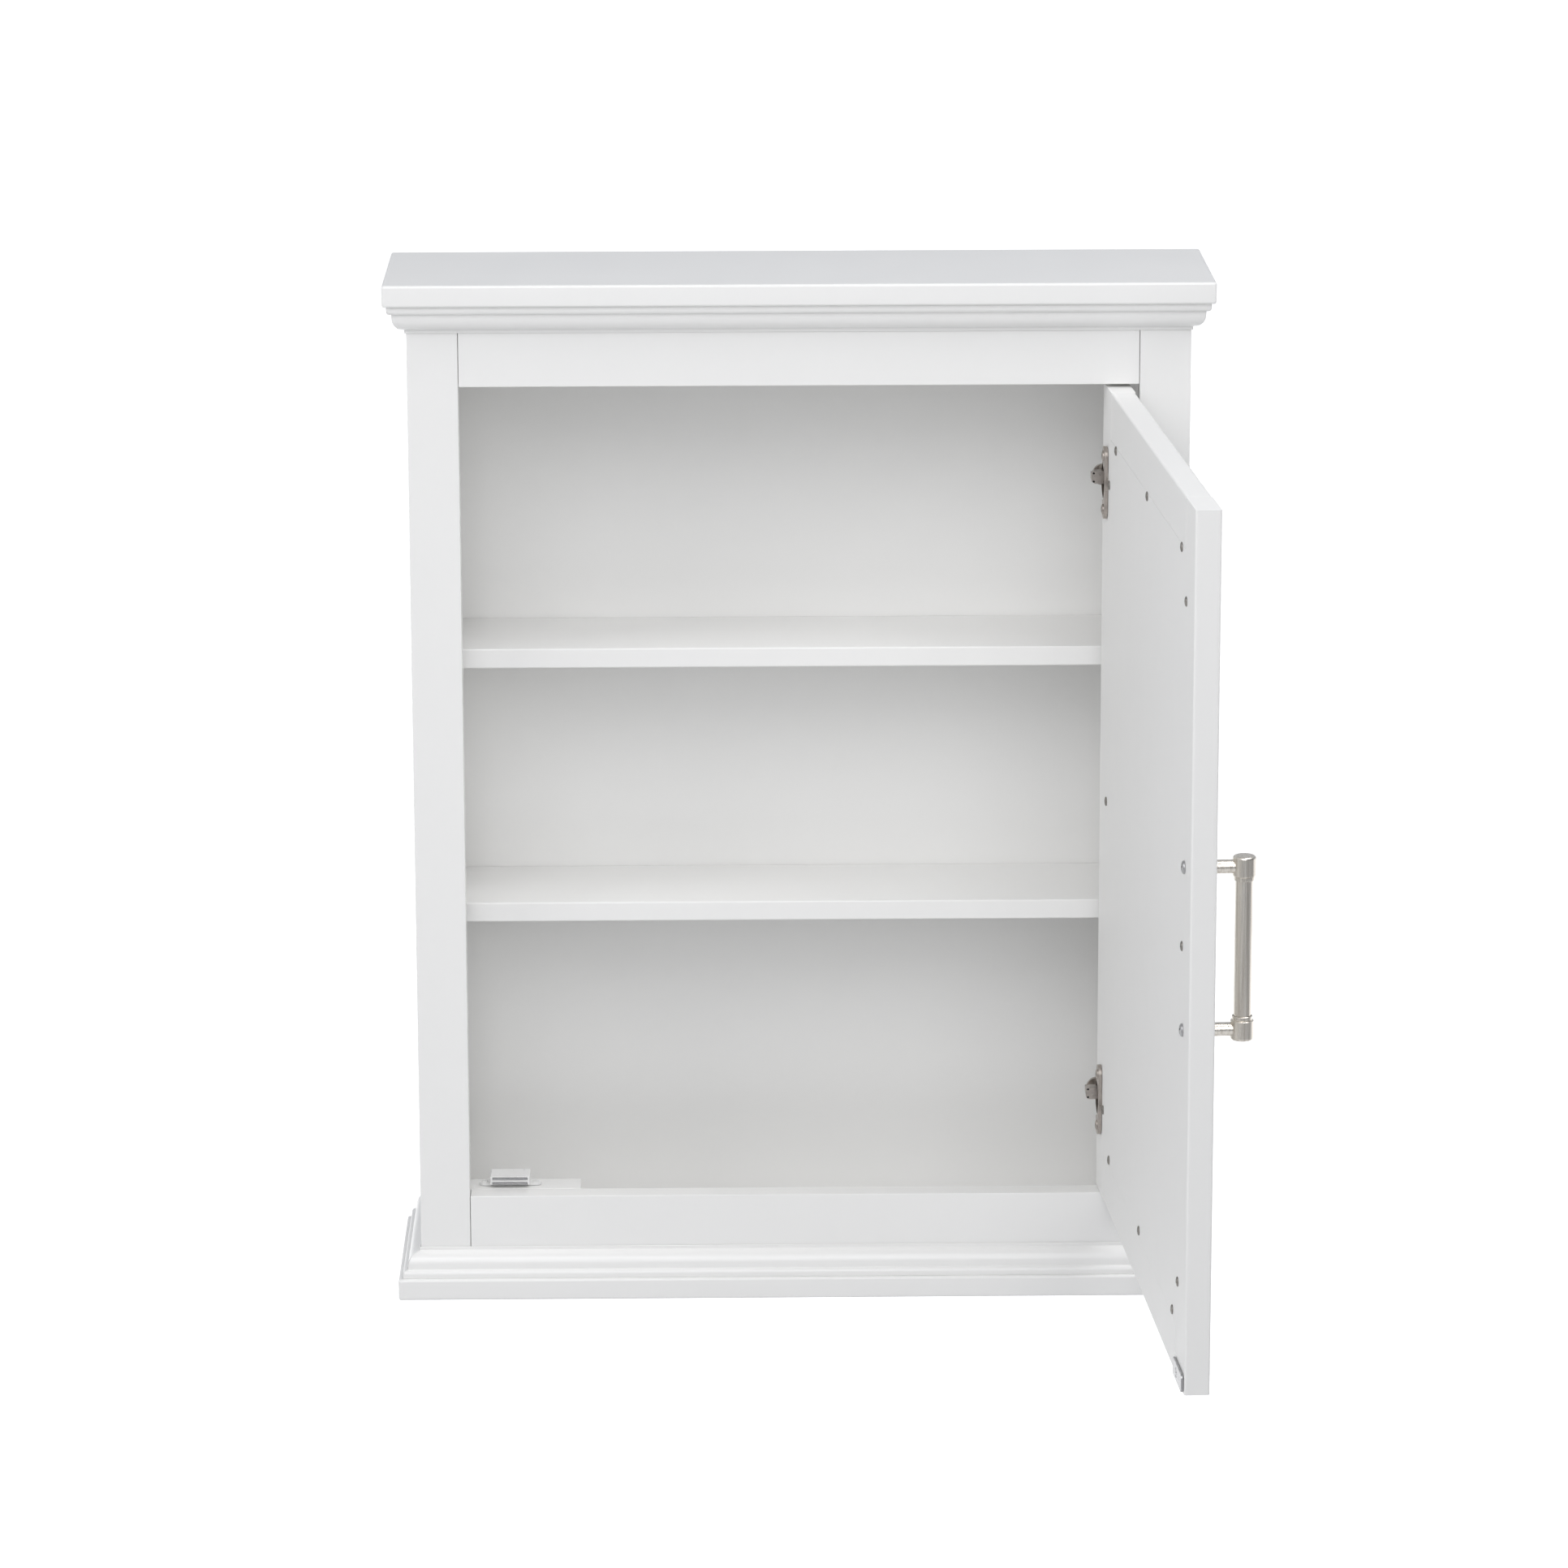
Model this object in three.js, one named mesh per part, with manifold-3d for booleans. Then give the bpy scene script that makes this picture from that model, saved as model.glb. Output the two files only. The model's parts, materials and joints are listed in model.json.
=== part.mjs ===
// A white painted wall cabinet with one mirrored door, hinged on its right side and standing open.
//
// Millimetres, +Z up. The cabinet is drawn with its face frame's front at y = 0, its base at z = 0
// and the wall at y = CASE_DEPTH; the root group then moves it so that the origin lies on the wall,
// in the middle of the width, at the height of the hanging screws.

import * as THREE from "three";
import { mergeVertices } from "three/addons/utils/BufferGeometryUtils.js";
import Module from "manifold-3d";

const wasm = await Module();
wasm.setup();

// ---- Driving dimensions -------------------------------------------------------------------------

const GAP = 0.3; // glue line or running clearance between neighbouring pieces

const HEIGHT = 652;
const CASE_WIDTH = 484; // over the side panels and the face frame
const CASE_DEPTH = 123; // from the face frame's front to the wall
const SIDE_THICK = 15;
const PANEL_THICK = 12.5; // shelves, bottom and top
const BACK_THICK = 3;
const DADO_DEPTH = 5; // grooves in the side panels that house the shelves

const FRAME_THICK = 16;
const STILE_WIDTH = 31.5;
const OPENING_BOTTOM = 64.7;
const OPENING_TOP = 586.5;

// The cornice and the base are the same board and moulding, one the other way up.
const CORNICE_THICK = 13.7;
const CORNICE_HEIGHT = 31.6; // board and moulding together
const PROJECTION = 14.3; // past the frame and the sides

const SHELF_TOPS = { shelf_upper: 415.5, shelf_lower: 251 };
const SHELF_SETBACK = 26;

const HANG_HEIGHT = 600;
const HANG_SPACING = 360;
const HANG_HOLE_RADIUS = 3;
const HANGING_RAIL_BOTTOM = 573;
const HANGING_RAIL_THICK = 15;

const DOOR_GAP = 2.5; // at each edge of the door
const DOOR_TOP_GAP = 2;
const DOOR_BOTTOM_GAP = 0.8;
const DOOR_THICK = 15;
const DOOR_MEMBER = 40; // width of the door's stiles and rails
const DOOR_ROUNDING = 1.5;
const REBATE_EDGE = 29.5; // from the door's edge to the rebate that takes the back panel
const REBATE_DEPTH = 9.5;
const REBATE_CORNER = 10;
const MIRROR_THICK = 4;
const MIRROR_EDGE = 36.8;
const OPEN_ANGLE = THREE.MathUtils.degToRad(93.4);

// The panel screws: how far each row is from the door's edge, and where its screws are.
const SCREW_ROW = { top: 31.3, bottom: 34.8, free: 32.3, hinge: 34.8 };
const SCREW_ACROSS = { free: 53, middle: -4, hinge: 66 }; // the top and bottom rows
const SCREW_END = 58.5; // first and last screw of the long rows

const HINGE_END = { upper: 59, lower: 62 }; // from the door's end to the hinge's centre
const HINGE_AXIS_INSET = 14; // from the opening's edge to the pin
const HINGE_AXIS_DEPTH = 8.5; // from the frame's front to the pin
const CUP_RADIUS = 13;
const CUP_EDGE = 3; // wood left between the cup and the door's edge
const CUP_DEPTH = 11.2;
const CUP_WALL = 1;
const FLANGE = { width: 12, half: 22.8, thick: 2.2, ring: 1 };
const PIN_RADIUS = 1.5;
const ARM = {
  eye: 3.4,
  legReach: 14.9, // from the pin to the far side of the leg
  leg: 4,
  legHeight: [-2.4, 5.4],
  shankHeight: [-2.4, 2], // where the leg goes back to the bridge
  noseReach: 13.5,
  nose: 6.6,
  bridge: [22.4, 25.4], // behind the frame's front
  tailEnd: 62,
  tailThick: 2.6,
  tailWidth: 11,
};
const PLATE = { depth: [30, 70], half: 11, thick: 2.7, corner: 4 };
const HINGE_BLOCK = { depth: 80, half: 32 };
const PIN_LENGTH = 20.2;

const HANDLE_CENTRES = 96;
const HANDLE_EDGE = 26; // from the door's free edge to the posts
const HANDLE_REACH = 19.2; // from the door's face to the bar's centre
const BAR_RADIUS = 5.05;
const POST_RADIUS = 4.05;
const END_RADIUS = 6.7;
const END_OUT = 6.4; // the sleeve past the post's centre, and towards the bar
const END_IN = 5.4;
const END_CHAMFER = 1.2;
const END_CAP = 2; // solid metal past the bar's end
const COLLAR_RADIUS = 5.9;
const COLLAR_LENGTH = 2.7;

const CATCH_X = -185.5;
const CATCH = {
  width: 25.4,
  front: 17.6, // behind the frame's front
  depth: 18.5,
  height: [1.5, 7], // above the block
  ears: 39.6, // from end to end
  earHalf: 3.4,
  earThick: 1.6,
  earSetback: 8,
};
const MAGNET = { width: 21.8, proud: 0.6, depth: 14, slot: 12, height: [2.2, 6.3], pole: 1 };
const BLOCK_WIDTH = 86.5;
const BLOCK_DEPTH = 21;
const STRIKE = { width: 36, height: 11, thick: 1.4, edge: 1.5, bottom: 1, corner: 3 };

// ---- Sizes that follow from them ----------------------------------------------------------------

const HALF = CASE_WIDTH / 2;
const INNER = HALF - SIDE_THICK;
const OPENING = HALF - STILE_WIDTH;
const CASE_BOTTOM = CORNICE_THICK + GAP;
const CASE_TOP = HEIGHT - CORNICE_THICK - GAP;
const PANEL_BACK = CASE_DEPTH - BACK_THICK;
const FLOOR = CASE_BOTTOM + PANEL_THICK;
const CEILING = CASE_TOP - PANEL_THICK;

const DOOR = {
  hinge: OPENING - DOOR_GAP,
  free: -(OPENING - DOOR_GAP),
  bottom: OPENING_BOTTOM + DOOR_BOTTOM_GAP,
  top: OPENING_TOP - DOOR_TOP_GAP,
};
DOOR.width = DOOR.hinge - DOOR.free;
DOOR.middle = (DOOR.bottom + DOOR.top) / 2;

const AXIS = { x: OPENING - HINGE_AXIS_INSET, y: HINGE_AXIS_DEPTH };
const HINGE_HEIGHTS = { upper: DOOR.top - HINGE_END.upper, lower: DOOR.bottom + HINGE_END.lower };
const CUP_X = DOOR.hinge - CUP_EDGE - CUP_RADIUS;

// ---- Materials ----------------------------------------------------------------------------------

function material(color, roughness, metalness = 0) {
  return new THREE.MeshStandardMaterial({ color, roughness, metalness });
}

const PAINT = material(0xe6e6e4, 0.42);
const NICKEL = material(0xa8a09a, 0.32, 1);
const HINGE_NICKEL = material(0x968c84, 0.36, 1);
const BRIGHT_STEEL = material(0xa9adb0, 0.35, 1);
const DARK_STEEL = material(0x2c2c2e, 0.4, 1);
const WHITE_PLASTIC = material(0xeeeeec, 0.35);
const MIRROR = material(0xf2f4f5, 0.03, 1);

// ---- Geometry helpers ---------------------------------------------------------------------------

function box(x, y, z) {
  const geometry = new THREE.BoxGeometry(x[1] - x[0], y[1] - y[0], z[1] - z[0]);
  return geometry.translate((x[0] + x[1]) / 2, (y[0] + y[1]) / 2, (z[0] + z[1]) / 2);
}

function extrude(shape, depth, curveSegments = 6) {
  return new THREE.ExtrudeGeometry(shape, { depth, bevelEnabled: false, curveSegments });
}

// A shape in x and z, pulled along y.
function extrudeY(shape, y, curveSegments) {
  return extrude(shape, y[1] - y[0], curveSegments).rotateX(Math.PI / 2).translate(0, y[1], 0);
}

// A shape in y and z, pulled along x.
function extrudeX(shape, x, curveSegments) {
  const toX = new THREE.Matrix4().makeBasis(
    new THREE.Vector3(0, 1, 0),
    new THREE.Vector3(0, 0, 1),
    new THREE.Vector3(1, 0, 0),
  );
  return extrude(shape, x[1] - x[0], curveSegments).applyMatrix4(toX).translate(x[0], 0, 0);
}

// A shape in x and y, pulled along z.
function extrudeZ(shape, z, curveSegments) {
  return extrude(shape, z[1] - z[0], curveSegments).translate(0, 0, z[0]);
}

function polygon(points) {
  return new THREE.Shape(points.map(([u, v]) => new THREE.Vector2(u, v)));
}

function roundedRectangle(u, v, radius) {
  const shape = new THREE.Shape();
  const quarter = Math.PI / 2;
  shape.absarc(u[1] - radius, v[1] - radius, radius, 0, quarter);
  shape.absarc(u[0] + radius, v[1] - radius, radius, quarter, 2 * quarter);
  shape.absarc(u[0] + radius, v[0] + radius, radius, 2 * quarter, 3 * quarter);
  shape.absarc(u[1] - radius, v[0] + radius, radius, 3 * quarter, 4 * quarter);
  return shape;
}

// A turned piece: the profile lists the radius against the distance along y.
function turned(profile, segments) {
  const points = profile.map(([radius, along]) => new THREE.Vector2(radius, along));
  return new THREE.LatheGeometry(points, segments);
}

function rod(radius, length, segments) {
  return new THREE.CylinderGeometry(radius, radius, length, segments);
}

function solid(geometry) {
  const bare = geometry.clone();
  bare.deleteAttribute("normal");
  bare.deleteAttribute("uv");
  const merged = mergeVertices(bare, 1e-4);
  return new wasm.Manifold(
    new wasm.Mesh({
      numProp: 3,
      vertProperties: new Float32Array(merged.getAttribute("position").array),
      triVerts: new Uint32Array(merged.getIndex().array),
    }),
  );
}

function geometryOf(manifold) {
  const mesh = manifold.getMesh();
  const geometry = new THREE.BufferGeometry();
  geometry.setAttribute("position", new THREE.BufferAttribute(mesh.vertProperties, 3));
  geometry.setIndex(new THREE.BufferAttribute(mesh.triVerts, 1));
  geometry.computeVertexNormals();
  return geometry;
}

function cut(geometry, tools) {
  return geometryOf(tools.reduce((body, tool) => body.subtract(solid(tool)), solid(geometry)));
}

function joined(geometry, additions) {
  return geometryOf(additions.reduce((body, extra) => body.add(solid(extra)), solid(geometry)));
}

// ---- Assembly -----------------------------------------------------------------------------------

const cabinet = new THREE.Group();
cabinet.position.set(0, -CASE_DEPTH, -HANG_HEIGHT);

// The door is drawn closed, then turned about the hinge pins.
const swing = new THREE.Group();
swing.position.set(AXIS.x, AXIS.y, 0);
swing.rotation.z = OPEN_ANGLE;
cabinet.add(swing);
const door = new THREE.Group();
door.position.set(-AXIS.x, -AXIS.y, 0);
swing.add(door);

function add(parent, name, geometry, finish) {
  const mesh = new THREE.Mesh(geometry, finish);
  mesh.name = name;
  parent.add(mesh);
}

// ---- Case ---------------------------------------------------------------------------------------

// A side panel seen from the front, with the grooves that house the shelves.
function sidePanelShape(side) {
  const points = [[HALF, CASE_TOP], [HALF, CASE_BOTTOM], [INNER, CASE_BOTTOM]];
  const rising = Object.values(SHELF_TOPS).sort((a, b) => a - b);
  for (const top of rising) {
    const groove = [top - PANEL_THICK - GAP, top + GAP];
    points.push([INNER, groove[0]], [INNER + DADO_DEPTH, groove[0]]);
    points.push([INNER + DADO_DEPTH, groove[1]], [INNER, groove[1]]);
  }
  points.push([INNER, CASE_TOP]);
  return polygon(points.map(([x, z]) => [side * x, z]));
}

function addCase() {
  const inside = [-INNER + GAP, INNER - GAP];
  const depth = [FRAME_THICK + GAP, PANEL_BACK - GAP];
  const sideDepth = [FRAME_THICK + GAP, CASE_DEPTH];
  add(cabinet, "side_panel_left", extrudeY(sidePanelShape(-1), sideDepth), PAINT);
  add(cabinet, "side_panel_right", extrudeY(sidePanelShape(1), sideDepth), PAINT);
  add(cabinet, "bottom_panel", box(inside, depth, [CASE_BOTTOM, FLOOR]), PAINT);
  add(cabinet, "top_panel", box(inside, depth, [CEILING, CASE_TOP]), PAINT);

  const reach = INNER + DADO_DEPTH - GAP;
  for (const [name, top] of Object.entries(SHELF_TOPS)) {
    const shelf = box([-reach, reach], [SHELF_SETBACK, PANEL_BACK - GAP], [top - PANEL_THICK, top]);
    add(cabinet, name, shelf, PAINT);
  }
}

// The two holes of the hanging screws, through the hanging rail and the back.
function hangingHoles() {
  return [-1, 1].map((side) => {
    const hole = rod(HANG_HOLE_RADIUS, 2 * CASE_DEPTH, 24);
    return hole.translate((side * HANG_SPACING) / 2, CASE_DEPTH, HANG_HEIGHT);
  });
}

function addBack() {
  const inside = [-INNER + GAP, INNER - GAP];
  const back = box(inside, [PANEL_BACK, CASE_DEPTH], [CASE_BOTTOM, CASE_TOP]);
  add(cabinet, "back_panel", cut(back, hangingHoles()), PAINT);
  const rail = box(
    inside,
    [PANEL_BACK - GAP - HANGING_RAIL_THICK, PANEL_BACK - GAP],
    [HANGING_RAIL_BOTTOM, CEILING - GAP],
  );
  add(cabinet, "hanging_rail", cut(rail, hangingHoles()), PAINT);
}

function addFaceFrame() {
  const depth = [0, FRAME_THICK];
  const full = [CASE_BOTTOM, CASE_TOP];
  const between = [-OPENING + GAP, OPENING - GAP];
  add(cabinet, "frame_stile_left", box([-HALF, -OPENING], depth, full), PAINT);
  add(cabinet, "frame_stile_right", box([OPENING, HALF], depth, full), PAINT);
  add(cabinet, "frame_rail_top", box(between, depth, [OPENING_TOP, CASE_TOP]), PAINT);
  add(cabinet, "frame_rail_bottom", box(between, depth, [CASE_BOTTOM, OPENING_BOTTOM]), PAINT);
}

// ---- Cornice and base ---------------------------------------------------------------------------

// The moulding's section: how far it stands out, against the distance below the cornice board. It
// is a bead, a step and an ovolo, and ends in a narrow fillet.
function mouldingShape() {
  const part = (fraction) => -fraction * (CORNICE_HEIGHT - CORNICE_THICK - GAP);
  const shape = new THREE.Shape();
  shape.moveTo(GAP, 0);
  shape.lineTo(GAP, part(1));
  shape.lineTo(0.9, part(1));
  shape.lineTo(0.9, part(0.88));
  shape.lineTo(1.6, part(0.85));
  shape.bezierCurveTo(5.4, part(0.83), 8.2, part(0.68), 8.4, part(0.38));
  shape.lineTo(8.4, part(0.28));
  shape.bezierCurveTo(10.5, part(0.26), 11.5, part(0.2), 11.5, part(0.1));
  shape.lineTo(11.5, 0);
  return shape;
}

// Runs the section round the front and both sides with mitred corners. `z` is the height of the
// section's thick end, and `up` is 1 where the thick end is on top.
function addMoulding(name, z, up) {
  const runs = {
    front: (out, along) => [(1 - 2 * along) * (HALF + out - GAP), -out],
    left: (out, along) => [-HALF - out, THREE.MathUtils.lerp(-out, CASE_DEPTH, along)],
    right: (out, along) => [HALF + out, THREE.MathUtils.lerp(CASE_DEPTH, -out, along)],
  };
  for (const [side, place] of Object.entries(runs)) {
    const geometry = extrude(mouldingShape(), 1, 8);
    const points = geometry.getAttribute("position");
    for (let i = 0; i < points.count; i += 1) {
      // Upside down, the section's faces would point inwards, so its run is walked backwards.
      const along = up > 0 ? points.getZ(i) : 1 - points.getZ(i);
      const [x, y] = place(points.getX(i), along);
      points.setXYZ(i, x, y, z + up * points.getY(i));
    }
    geometry.computeVertexNormals();
    add(cabinet, `${name}_${side}`, geometry, PAINT);
  }
}

function addCorniceAndBase() {
  const width = [-HALF - PROJECTION, HALF + PROJECTION];
  const depth = [-PROJECTION, CASE_DEPTH];
  const cornice = box(width, depth, [HEIGHT - CORNICE_THICK, HEIGHT]);
  add(cabinet, "cornice_board", cornice, PAINT);
  add(cabinet, "base_board", box(width, depth, [0, CORNICE_THICK]), PAINT);
  addMoulding("cornice_moulding", CASE_TOP, 1);
  addMoulding("base_moulding", CASE_BOTTOM, -1);
}

// ---- Door ---------------------------------------------------------------------------------------

// The door's stiles and rails, each a bar with its outer edges rounded.
function doorMember(x, z) {
  const depth = [0, DOOR_THICK];
  const alongZ = z[1] - z[0] > x[1] - x[0];
  const span = alongZ ? x : z;
  const round = (shape) => (alongZ ? extrudeZ(shape, z) : extrudeX(shape, x));
  const across = roundedRectangle(span, depth, DOOR_ROUNDING);
  const flipped = roundedRectangle(depth, span, DOOR_ROUNDING);
  return round(alongZ ? across : flipped);
}

function panelShape(inset, radius) {
  return roundedRectangle(
    [DOOR.free + inset, DOOR.hinge - inset],
    [DOOR.bottom + inset, DOOR.top - inset],
    radius,
  );
}

// Centres of the twelve screws that hold the back panel, three along each side.
function panelScrewPlaces() {
  const across = [DOOR.free + SCREW_ACROSS.free, SCREW_ACROSS.middle, DOOR.hinge - SCREW_ACROSS.hinge];
  const rows = [DOOR.top - SCREW_ROW.top, DOOR.bottom + SCREW_ROW.bottom];
  const columns = [DOOR.free + SCREW_ROW.free, DOOR.hinge - SCREW_ROW.hinge];
  const along = [DOOR.top - SCREW_END, DOOR.middle, DOOR.bottom + SCREW_END];
  return [
    ...rows.flatMap((z) => across.map((x) => [x, z])),
    ...columns.flatMap((x) => along.map((z) => [x, z])),
  ];
}

function screwHoles(places, radius, depth) {
  return places.map(([x, z]) => {
    const hole = rod(radius, depth[1] - depth[0], 12);
    return hole.translate(x, (depth[0] + depth[1]) / 2, z);
  });
}

const PANEL_SCREW = { head: 2.9, domed: 1.3, shank: 1.3, length: 11.5, hole: 1.6 };
const HANDLE_SCREW = { head: 3.9, domed: 1.6, shank: 1.9, length: 16, hole: 2.2 };
const PLATE_SCREW = { head: 2.6, domed: 1.1, shank: 1.3, length: 9, hole: 1.6 };

// A pan-head screw on the +Y side of a face at `seat`, driven towards -Y.
function screw(kind, x, seat, z) {
  const profile = [
    [0, -kind.length],
    [kind.shank * 0.4, -kind.length],
    [kind.shank, -kind.length + 2],
    [kind.shank, 0],
    [kind.head, 0],
    [kind.head, kind.domed * 0.35],
    [kind.head * 0.7, kind.domed * 0.85],
    [0, kind.domed],
  ];
  return turned(profile, 14).translate(x, seat, z);
}

function addDoorFrame() {
  const pocket = extrudeY(panelShape(REBATE_EDGE, REBATE_CORNER), [
    DOOR_THICK - REBATE_DEPTH,
    2 * DOOR_THICK,
  ]);
  const panelHoles = screwHoles(panelScrewPlaces(), PANEL_SCREW.hole, [3, 20]);
  const cups = Object.values(HINGE_HEIGHTS).map((z) => {
    const pocketDepth = CUP_DEPTH + 2 * GAP;
    const hole = rod(CUP_RADIUS + GAP, 2 * pocketDepth, 32);
    return hole.translate(CUP_X, DOOR_THICK, z);
  });
  const handleHoles = [-1, 1].map((end) => {
    const z = DOOR.middle + (end * HANDLE_CENTRES) / 2;
    return rod(HANDLE_SCREW.hole, 4 * DOOR_THICK, 16).translate(DOOR.free + HANDLE_EDGE, 0, z);
  });
  const strikeHole = rod(PLATE_SCREW.hole, 20, 12).translate(CATCH_X, DOOR_THICK, strikeMiddle());

  const height = [DOOR.bottom, DOOR.top];
  const between = [DOOR.free + DOOR_MEMBER + GAP, DOOR.hinge - DOOR_MEMBER - GAP];
  const members = {
    door_stile_hinge: doorMember([DOOR.hinge - DOOR_MEMBER, DOOR.hinge], height),
    door_stile_free: doorMember([DOOR.free, DOOR.free + DOOR_MEMBER], height),
    door_rail_top: doorMember(between, [DOOR.top - DOOR_MEMBER, DOOR.top]),
    door_rail_bottom: doorMember(between, [DOOR.bottom, DOOR.bottom + DOOR_MEMBER]),
  };
  const tools = [pocket, ...panelHoles, ...cups, ...handleHoles, strikeHole];
  for (const [name, geometry] of Object.entries(members)) {
    add(door, name, cut(geometry, tools), PAINT);
  }
}

function addDoorPanels() {
  const lip = DOOR_THICK - REBATE_DEPTH + GAP;
  const mirror = box(
    [DOOR.free + MIRROR_EDGE, DOOR.hinge - MIRROR_EDGE],
    [lip, lip + MIRROR_THICK],
    [DOOR.bottom + MIRROR_EDGE, DOOR.top - MIRROR_EDGE],
  );
  add(door, "door_mirror", mirror, MIRROR);

  const panel = extrudeY(panelShape(REBATE_EDGE + GAP, REBATE_CORNER - GAP), [
    lip + MIRROR_THICK + GAP,
    DOOR_THICK,
  ]);
  const holes = screwHoles(panelScrewPlaces(), PANEL_SCREW.hole, [3, 20]);
  add(door, "door_back_panel", cut(panel, holes), PAINT);
  panelScrewPlaces().forEach(([x, z], index) => {
    const geometry = screw(PANEL_SCREW, x, DOOR_THICK + GAP, z);
    add(door, `panel_screw_${index + 1}`, geometry, BRIGHT_STEEL);
  });
}

// ---- Hinges -------------------------------------------------------------------------------------

// The plate that carries the cup: two ears with one straight side, and a thin ring round the cup.
function flange(z) {
  const seat = DOOR_THICK + GAP;
  const side = CUP_X - CUP_RADIUS;
  const ears = extrudeY(
    roundedRectangle(
      [side, side + FLANGE.width],
      [z - FLANGE.half, z + FLANGE.half],
      FLANGE.width / 2 - 0.01,
    ),
    [seat, seat + FLANGE.thick],
  );
  const ring = rod(CUP_RADIUS, FLANGE.ring, 32).translate(CUP_X, seat + FLANGE.ring / 2, z);
  return joined(ears, [ring]);
}

function cup(z) {
  const rim = DOOR_THICK + GAP + FLANGE.ring;
  const bottom = DOOR_THICK - CUP_DEPTH;
  const outside = rod(CUP_RADIUS, rim - bottom, 32).translate(CUP_X, (rim + bottom) / 2, z);
  const inside = rod(CUP_RADIUS - CUP_WALL, 2 * CUP_DEPTH, 32);
  inside.translate(CUP_X, bottom + CUP_WALL + CUP_DEPTH, z);
  return cut(joined(flange(z), [outside]), [inside]);
}

// The arm's leg in plan: an eye round the pin, and a turn out of the cup.
function legShape() {
  const left = AXIS.x - ARM.legReach;
  const shape = new THREE.Shape();
  shape.moveTo(AXIS.x, AXIS.y - ARM.eye);
  shape.absarc(AXIS.x, AXIS.y, ARM.eye, -Math.PI / 2, Math.PI / 2);
  shape.lineTo(left, AXIS.y + ARM.eye);
  shape.lineTo(left, AXIS.y - ARM.eye);
  const hole = new THREE.Path();
  hole.absarc(AXIS.x, AXIS.y, PIN_RADIUS + GAP, 0, 2 * Math.PI);
  shape.holes.push(hole);
  return shape;
}

// The arm: its leg, a round-nosed bridge across to the hinge plate, and a tail along the plate.
function arm(z) {
  const centre = AXIS.x - ARM.noseReach + ARM.nose;
  const right = OPENING - PLATE.thick - 0.4;
  const [front, back] = ARM.bridge;
  const left = AXIS.x - ARM.legReach;
  const leg = extrudeZ(legShape(), ARM.legHeight.map((height) => z + height));
  const shank = box(
    [left, left + ARM.leg],
    [AXIS.y, front + 1],
    ARM.shankHeight.map((height) => z + height),
  );
  const nose = rod(ARM.nose, back - front, 32).translate(centre, (front + back) / 2, z);
  const bridge = box([centre, right], [front, back], [z - ARM.nose, z + ARM.nose]);
  const tail = box(
    [right - ARM.tailThick, right],
    [back - 1, ARM.tailEnd],
    [z - ARM.tailWidth / 2, z + ARM.tailWidth / 2],
  );
  return joined(leg, [shank, nose, bridge, tail]);
}

function hingeBlock(z) {
  return box(
    [OPENING + GAP, INNER - GAP],
    [FRAME_THICK + GAP, HINGE_BLOCK.depth],
    [z - HINGE_BLOCK.half, z + HINGE_BLOCK.half],
  );
}

function hingePlate(z) {
  const outline = roundedRectangle(PLATE.depth, [z - PLATE.half, z + PLATE.half], PLATE.corner);
  return extrudeX(outline, [OPENING - PLATE.thick, OPENING]);
}

function addHinges() {
  for (const [name, z] of Object.entries(HINGE_HEIGHTS)) {
    add(cabinet, `hinge_block_${name}`, hingeBlock(z), PAINT);
    add(cabinet, `hinge_plate_${name}`, hingePlate(z), HINGE_NICKEL);
    add(cabinet, `hinge_arm_${name}`, arm(z), HINGE_NICKEL);
    add(door, `hinge_cup_${name}`, cup(z), HINGE_NICKEL);
    const pin = rod(PIN_RADIUS, PIN_LENGTH, 16).rotateX(Math.PI / 2);
    add(door, `hinge_pin_${name}`, pin.translate(AXIS.x, AXIS.y, z), BRIGHT_STEEL);
  }
}

// ---- Handle -------------------------------------------------------------------------------------

// One end of the handle: a capped sleeve round the bar's end, with its post to the door.
function handleEnd(direction) {
  const x = DOOR.free + HANDLE_EDGE;
  const z = DOOR.middle + (direction * HANDLE_CENTRES) / 2;
  const bore = BAR_RADIUS + GAP;
  const profile = [
    [bore, -END_IN - COLLAR_LENGTH],
    [COLLAR_RADIUS, -END_IN - COLLAR_LENGTH],
    [COLLAR_RADIUS, -END_IN],
    [END_RADIUS, -END_IN],
    [END_RADIUS, END_OUT - END_CHAMFER],
    [END_RADIUS - END_CHAMFER, END_OUT],
    [0, END_OUT],
    [0, END_OUT - END_CAP],
    [bore, END_OUT - END_CAP],
    [bore, -END_IN - COLLAR_LENGTH],
  ];
  const sleeve = turned(profile, 28).rotateX((direction * Math.PI) / 2);
  sleeve.translate(x, -HANDLE_REACH, z);
  const length = HANDLE_REACH - bore - GAP - 0.4;
  const post = rod(POST_RADIUS, length, 24).translate(x, -GAP - length / 2, z);
  const thread = rod(HANDLE_SCREW.shank + GAP, 8, 16).translate(x, -4, z);
  return cut(joined(sleeve, [post]), [thread]);
}

function addHandle() {
  const x = DOOR.free + HANDLE_EDGE;
  const barLength = HANDLE_CENTRES + 2 * (END_OUT - END_CAP - GAP);
  const bar = rod(BAR_RADIUS, barLength, 28).rotateX(Math.PI / 2);
  add(door, "handle_bar", bar.translate(x, -HANDLE_REACH, DOOR.middle), NICKEL);
  for (const [name, direction] of [["top", 1], ["bottom", -1]]) {
    add(door, `handle_end_${name}`, handleEnd(direction), NICKEL);
    const z = DOOR.middle + (direction * HANDLE_CENTRES) / 2;
    const fixing = screw({ ...HANDLE_SCREW, length: DOOR_THICK + 6 }, x, DOOR_THICK + GAP, z);
    add(door, `handle_screw_${name}`, fixing, BRIGHT_STEEL);
  }
}

// ---- Catch --------------------------------------------------------------------------------------

function strikeMiddle() {
  return DOOR.bottom + STRIKE.bottom + STRIKE.height / 2;
}

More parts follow.
